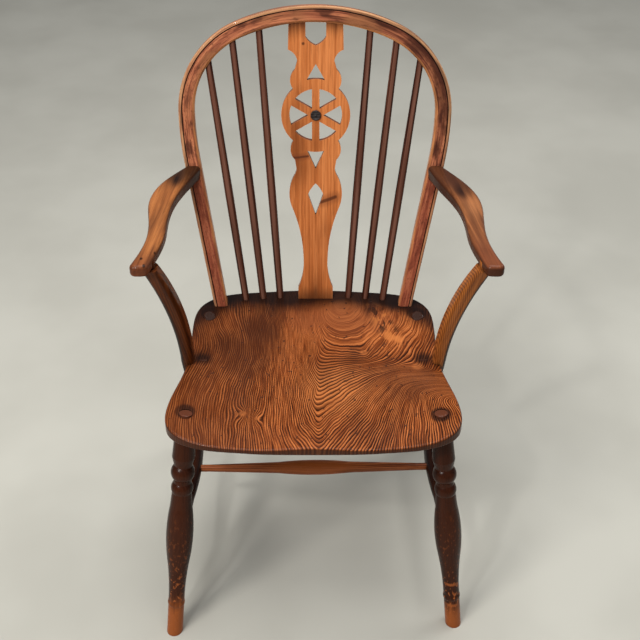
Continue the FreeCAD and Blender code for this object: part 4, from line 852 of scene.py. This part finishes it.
def bow_place(graph):
    """A place on the bow: offset outwards from its middle line, distance along it from the top."""
    rake, lean = math.radians(BOW_RAKE), math.radians(BOW_LEAN)
    up_plane = Vector((0, math.sin(rake), math.cos(rake)))
    across_plane = Vector((1, 0, 0))
    across = across_plane * math.cos(lean) - up_plane * math.sin(lean)
    up = across_plane * math.sin(lean) + up_plane * math.cos(lean)
    away = graph.vector_math("SUBTRACT", graph.place(), BOW_FOOT).outputs[0]
    signed = graph.dot(away, across)
    rise = graph.dot(away, up)
    x = signed.plain()
    shoulder_x = BOW_HALF - BOW_SHOULDER_RADIUS
    top_y = BOW_WIDEST - math.sqrt((BOW_TOP_RADIUS - BOW_SHOULDER_RADIUS) ** 2 - shoulder_x ** 2)
    turn = math.atan2(BOW_WIDEST - top_y, shoulder_x)
    side_x = BOW_HALF - BOW_SIDE_RADIUS
    reach = BOW_FOOT_X - side_x
    slope = math.atan2(BOW_WIDEST, reach) - math.acos(BOW_SIDE_RADIUS / math.hypot(BOW_WIDEST, reach))

    def arc(centre_x, centre_y, radius, start, before):
        """Offset from an arc and the distance along it, counted down from its upper end."""
        over = x - centre_x
        above = rise - centre_y
        offset = (over * over + above * above).root() - radius
        angle = graph.math("ARCTAN2", above, over)
        return offset, (start - angle) * radius + before, angle

    top_length = (math.pi / 2 - turn) * BOW_TOP_RADIUS
    shoulder_length = turn * BOW_SHOULDER_RADIUS
    side_length = slope * BOW_SIDE_RADIUS
    top, top_along, _ = arc(0.0, top_y, BOW_TOP_RADIUS, math.pi / 2, 0.0)
    shoulder, shoulder_along, angle = arc(shoulder_x, BOW_WIDEST, BOW_SHOULDER_RADIUS, turn, top_length)
    side_start = top_length + shoulder_length
    side, side_along, side_angle = arc(side_x, BOW_WIDEST, BOW_SIDE_RADIUS, 0.0, side_start)
    limb = (x - BOW_FOOT_X - rise * math.tan(slope)) * math.cos(slope)
    limb_start = BOW_WIDEST - BOW_SIDE_RADIUS * math.sin(slope)
    limb_along = limb_start - rise + side_start + side_length
    on_limb = side_angle.act("LESS_THAN", -slope)
    offset = side + (limb - side) * on_limb
    along = side_along + (limb_along - side_along) * on_limb
    above_side = rise.act("GREATER_THAN", BOW_WIDEST)
    offset = offset + (shoulder - offset) * above_side
    along = along + (shoulder_along - along) * above_side
    on_top = angle.act("GREATER_THAN", turn) * above_side
    offset = offset + (top - offset) * on_top
    along = along + (top_along - along) * on_top
    widened = rise.ease(0.0, limb_start, BOW_WIDTH / BOW_FOOT_WIDTH, 1.0)
    return offset * widened, along * signed.sign()


def bow_material(obj):
    """Bent ash: a pale bead and a pale inner corner, each partly rubbed and partly painted highlight,
    painted shade in the groove and in corners, and a stained field.
    """
    light, middle, dark = BOW_TONES
    graph = Graph("bow_ash")
    world = graph.place()
    x, y, z = graph.split(world)
    offset, along = bow_place(graph)
    place = graph.join(offset, y, along)
    line = graph.noise(place, *BOW_STREAK_NOISE)
    tone = graph.noise(place, *BOW_CLOUD_NOISE)
    blotch = graph.noise(place, *BOW_BLOTCH_NOISE)
    colour = graph.ramp(line.ease(*BOW_STREAKS), ((0.0, light), (WOOD_MIDDLE_TONE, middle), (1.0, dark)))
    crown = z.ease(*BOW_CROWN_Z)
    colour = graph.mix(crown * tone.ease(*CROWN_PATCHES), colour, CROWN_BROWN)
    right = x.ease(*RIGHT_SHOULDER_X) * z.ease(*RIGHT_SHOULDER_Z)
    colour = graph.mix(right * blotch.ease(*RIGHT_SHOULDER_BLOTCHES), colour, dark)
    colour = graph.mix(blotch.ease(*BLOTCHES), colour, dark)
    colour = graph.mix(z.ease(*LIMB_Z) * LIMB_STRENGTH, colour, LIMB_RED)
    colour = graph.mix(pores(graph, place, *BOW_PORES) * BOW_PORE_STRENGTH, colour, dark)
    colour = graph.mix(graph.near(world, *BOW_KNOT) * BOW_KNOT_STRENGTH, colour, dark)
    half = BOW_WIDTH / 2
    bead_start = half - BOW_BEAD
    rake = math.radians(BOW_RAKE)
    front = graph.facing((0, -math.cos(rake), math.sin(rake)))
    # Bead and inner chamfer paler, partly rubbed and partly painted highlight
    worn = line.ease(*EDGE_WEAR_AND_HIGHLIGHT_LINES)
    bead_from, bead_to = [bead_start + step for step in BEAD_EDGE]
    bead = offset.ease(bead_from, bead_to) * front.ease(*FRONT_FACE)
    colour = graph.mix(bead * worn * BEAD_STRENGTH, colour, PALE_TAN)
    chamfer_end = BOW_CHAMFER - half
    rim_from, rim_to = [chamfer_end + step for step in CHAMFER_EDGE]
    rim = offset.ease(rim_from, rim_to, 1.0, 0.0)
    colour = graph.mix(rim * worn * CHAMFER_STRENGTH, colour, PALE_ORANGE)
    # Painted shade in the groove beside the bead
    groove_middle = bead_start - BOW_GROOVE / 2
    groove_from, groove_to = [BOW_GROOVE * share for share in GROOVE_SHARES]
    groove = (offset - groove_middle).plain().ease(groove_from, groove_to, 1.0, 0.0)
    colour = graph.mix(groove * front.ease(*FRONT_FACE) * GROOVE_SHADE_STRENGTH, colour, SOOT)
    outside = front.ease(*OUTER_FACE) * offset.ease(*OUTSIDE_OFFSET)
    colour = graph.mix(outside, colour, RED_BROWN)
    # Painted shade in the corners where pieces meet
    colour = graph.mix(graph.corner_shade(BOW_SHADE_REACH) * BOW_SHADE_STRENGTH, colour, SOOT)
    gloss = tone.ease(*BOW_GLOSS)
    wear_material(obj, graph.polish(colour, gloss, 1.0 - line, BOW_BUMP, BOW_COAT))


# Screws. Within reach of the chair's middle, a support screw's shank takes the wood's brown

SUPPORT_SCREW_REACH = 0.196
STEEL_BRIGHT = (0.100, 0.085, 0.070)
STEEL_DARK = (0.025, 0.018, 0.014)
STEEL_METALLIC = 0.9
SCRATCH_SCALES = (900, 900, 300)
SCRATCHES = (0.35, 0.7)
STEEL_ROUGHNESS = (0.3, 0.7, 0.35, 0.6)
SHANK_FADE = 0.002


def dark_metal(obj, name, reach=0.0):
    """Old steel, with the wood's own brown on whatever lies within reach of the chair's middle."""
    graph = Graph(name)
    scratch = graph.noise(graph.place(), SCRATCH_SCALES)
    colour = graph.ramp(scratch.ease(*SCRATCHES), ((0.0, STEEL_BRIGHT), (1.0, STEEL_DARK)))
    shader = graph.add("ShaderNodeBsdfPrincipled")
    shader.inputs["Metallic"].default_value = STEEL_METALLIC
    shader.inputs["Specular IOR Level"].default_value = WOOD_SPECULAR
    if reach:
        bare = graph.split(graph.place())[0].plain().ease(reach - SHANK_FADE, reach)
        colour = graph.mix(bare, DARK_BROWN, colour)
        graph.set(shader.inputs["Metallic"], bare * STEEL_METALLIC)
    graph.set(shader.inputs["Base Color"], colour)
    graph.set(shader.inputs["Roughness"], scratch.ease(*STEEL_ROUGHNESS))
    output = graph.add("ShaderNodeOutputMaterial")
    graph.tree.links.new(shader.outputs[0], output.inputs[0])
    wear_material(obj, graph.material)


# Height of the worn part of each side's feet, and of the rubbed rings on the right front leg
LEFT_FOOT_TOP = 0.060
RIGHT_FOOT_TOP = 0.050
RIGHT_LEG_RINGS = (0.048, 0.092)
# How worn each leg is, which also sets how strong its painted sheen is, and the colour of its tenon's end
# in the seat
LEGS = (("front", 1.0, FRONT_PLUG), ("rear", 0.5, REAR_PLUG))
# Painted highlight on the splat's cut edges
SPLAT_EDGE_HIGHLIGHT = (0.740, 0.340, 0.150)


def dress_side(side, sign):
    """The arm, support, sticks, legs and stretcher of one side."""
    seed = 3.3 + sign
    plank(NODES[f"{side}_arm"], f"{side}_arm_elm", LEFT_ARM_TONES if sign < 0 else RIGHT_ARM_TONES, seed,
          marks=left_arm_marks if sign < 0 else right_arm_marks, rings=230, wander=0.016,
          ring_weight=0.22, cloud=0.20, gloss=(0.24, 0.36), edge_light_and_wear=0.10, pith=(0.03, 0.01), coat=0.10)
    if sign < 0:
        plank(NODES["left_arm_support"], "left_support_wood", LEFT_SUPPORT_TONES, seed + 5,
              marks=support_marks(sign), rings=300, wander=0.014, ring_weight=0.25, pith=(0.004, 0.02))
    else:
        plank(NODES["right_arm_support"], "right_support_wood", RIGHT_SUPPORT_TONES, seed + 5,
              marks=support_marks(sign), rings=340, wander=0.020, ring_weight=0.6, cloud=0.25, chevron=0.32)
    for name in ("inner", "middle", "outer"):
        plank(NODES[f"{side}_{name}_stick"], f"{side}_{name}_stick_wood", STICK_TONES, seed + len(name),
              marks=stick_marks, rings=500, wander=0.01, gloss=(0.20, 0.32), coat=0.11)
    bands = () if sign < 0 else RIGHT_LEG_RINGS
    foot_top = LEFT_FOOT_TOP if sign < 0 else RIGHT_FOOT_TOP
    for end, wear, plug_colour in LEGS:
        rings_worn = bands if end == "front" else ()
        plank(NODES[f"{end}_{side}_leg"], f"{end}_{side}_leg_wood", DARK_TONES, seed + len(end),
              marks=leg_marks(foot_top, rings_worn, wear, plug_colour),
              rings=330, wander=0.02, ring_weight=0.25, gloss=(0.20, 0.34), coat=0.11,
              edge_light_and_wear=0.25, edge_tint=RED_BROWN)
    plank(NODES[f"{side}_side_stretcher"], f"{side}_side_stretcher_wood", DARK_TONES, seed + 9,
          rings=330, ring_weight=0.3, gloss=(0.22, 0.36), coat=0.10)


def dress():
    """Every piece's own wood or steel."""
    seat_material(NODES["seat"])
    bow_material(NODES["bow"])
    plank(NODES["splat"], "splat_elm", SPLAT_TONES, 2.7, marks=splat_marks, rings=190, wander=0.014,
          ring_weight=0.16, cloud=0.75, edge=0.0012, edge_light_and_wear=0.45, edge_tint=SPLAT_EDGE_HIGHLIGHT, coat=0.10)
    plank(NODES["wheel_button"], "button_wood", BUTTON_TONES, 6.1)
    dress_side("left", -1)
    dress_side("right", 1)
    plank(NODES["cross_stretcher"], "cross_stretcher_wood", BROWN_TONES, 8.2, marks=cross_marks, rings=330,
          gloss=(0.22, 0.36), coat=0.10)
    plank(NODES["bow_wedges"], "wedge_wood", WEDGE_TONES, 4.0)
    dark_metal(NODES["arm_screws"], "arm_screw_steel")
    dark_metal(NODES["support_screws"], "support_screw_steel", SUPPORT_SCREW_REACH)


# Floor: half its side, and the two tones that its paint wanders between
FLOOR_HALF = 6.0
FLOOR_TONES = ((0.480, 0.465, 0.405), (0.540, 0.525, 0.460))
FLOOR_SCALES = (3, 3, 3)
FLOOR_CLOUDS = (0.3, 0.7)
FLOOR_ROUGHNESS = 0.85
FLOOR_SPECULAR = 0.2


def make_floor():
    """A plain pale floor."""
    half = FLOOR_HALF
    mesh = bpy.data.meshes.new("floor")
    corners = [(-half, -half, 0), (half, -half, 0), (half, half, 0), (-half, half, 0)]
    mesh.from_pydata(corners, [], [(0, 1, 2, 3)])
    floor = bpy.data.objects.new("floor", mesh)
    bpy.context.collection.objects.link(floor)
    graph = Graph("floor_paint")
    tone = graph.noise(graph.place(), FLOOR_SCALES, detail=3.0)
    shader = graph.add("ShaderNodeBsdfPrincipled")
    graph.set(shader.inputs["Base Color"], graph.mix(tone.ease(*FLOOR_CLOUDS), *FLOOR_TONES))
    shader.inputs["Roughness"].default_value = FLOOR_ROUGHNESS
    shader.inputs["Specular IOR Level"].default_value = FLOOR_SPECULAR
    output = graph.add("ShaderNodeOutputMaterial")
    graph.tree.links.new(shader.outputs[0], output.inputs[0])
    mesh.materials.append(graph.material)


# Lamps: name, place, what it is turned to, size in metres, watts and colour
SEAT_MIDDLE = (0, 0, 0.45)
WARM_WHITE = (1.0, 0.98, 0.95)
PURE_WHITE = (1, 1, 1)
LAMPS = (
    ("key", (-1.5, -1.5, 2.1), SEAT_MIDDLE, (0.8, 0.8), 35, WARM_WHITE),
    ("sparkle", (-0.8, -1.5, 2.3), SEAT_MIDDLE, (0.14, 0.14), 12, PURE_WHITE),
    ("window", (1.8, 0.9, 2.2), SEAT_MIDDLE, (1.0, 1.4), 18, PURE_WHITE),
    ("top", (0.0, 0.2, 3.0), (0, 0.1, 0.5), (2.0, 2.0), 54, PURE_WHITE),
)
STUDIO_COLOUR = (0.93, 0.96, 1.0)
STUDIO_STRENGTH = 0.26


def area_light(name, place, target, size, power, colour):
    """A rectangular lamp turned to its target."""
    light = bpy.data.lights.new(name, "AREA")
    light.shape = "RECTANGLE"
    light.size, light.size_y = size
    light.energy = power
    light.color = colour
    item = bpy.data.objects.new(name, light)
    item.location = place
    item.rotation_euler = (Vector(target) - Vector(place)).to_track_quat("-Z", "Y").to_euler()
    bpy.context.collection.objects.link(item)


def make_light():
    """Soft lamps, a small one for glints, and a faint even studio."""
    for lamp in LAMPS:
        area_light(*lamp)
    world = bpy.data.worlds.new("studio")
    bpy.context.scene.world = world
    world.use_nodes = True
    backdrop = world.node_tree.nodes["Background"]
    backdrop.inputs[0].default_value = rgba(STUDIO_COLOUR)
    backdrop.inputs[1].default_value = STUDIO_STRENGTH


def make_camera():
    """The camera at the photograph's place and angle."""
    data = bpy.data.cameras.new("camera")
    data.sensor_width = CAMERA_SENSOR
    data.lens = CAMERA_LENS
    data.shift_x = CAMERA_SHIFT
    camera = bpy.data.objects.new("camera", data)
    camera.location = CAMERA_PLACE
    camera.rotation_euler = (math.radians(90 - CAMERA_PITCH), 0, 0)
    bpy.context.collection.objects.link(camera)
    bpy.context.scene.camera = camera


dress()
make_floor()
make_light()
make_camera()
bpy.context.scene.view_settings.view_transform = "Standard"
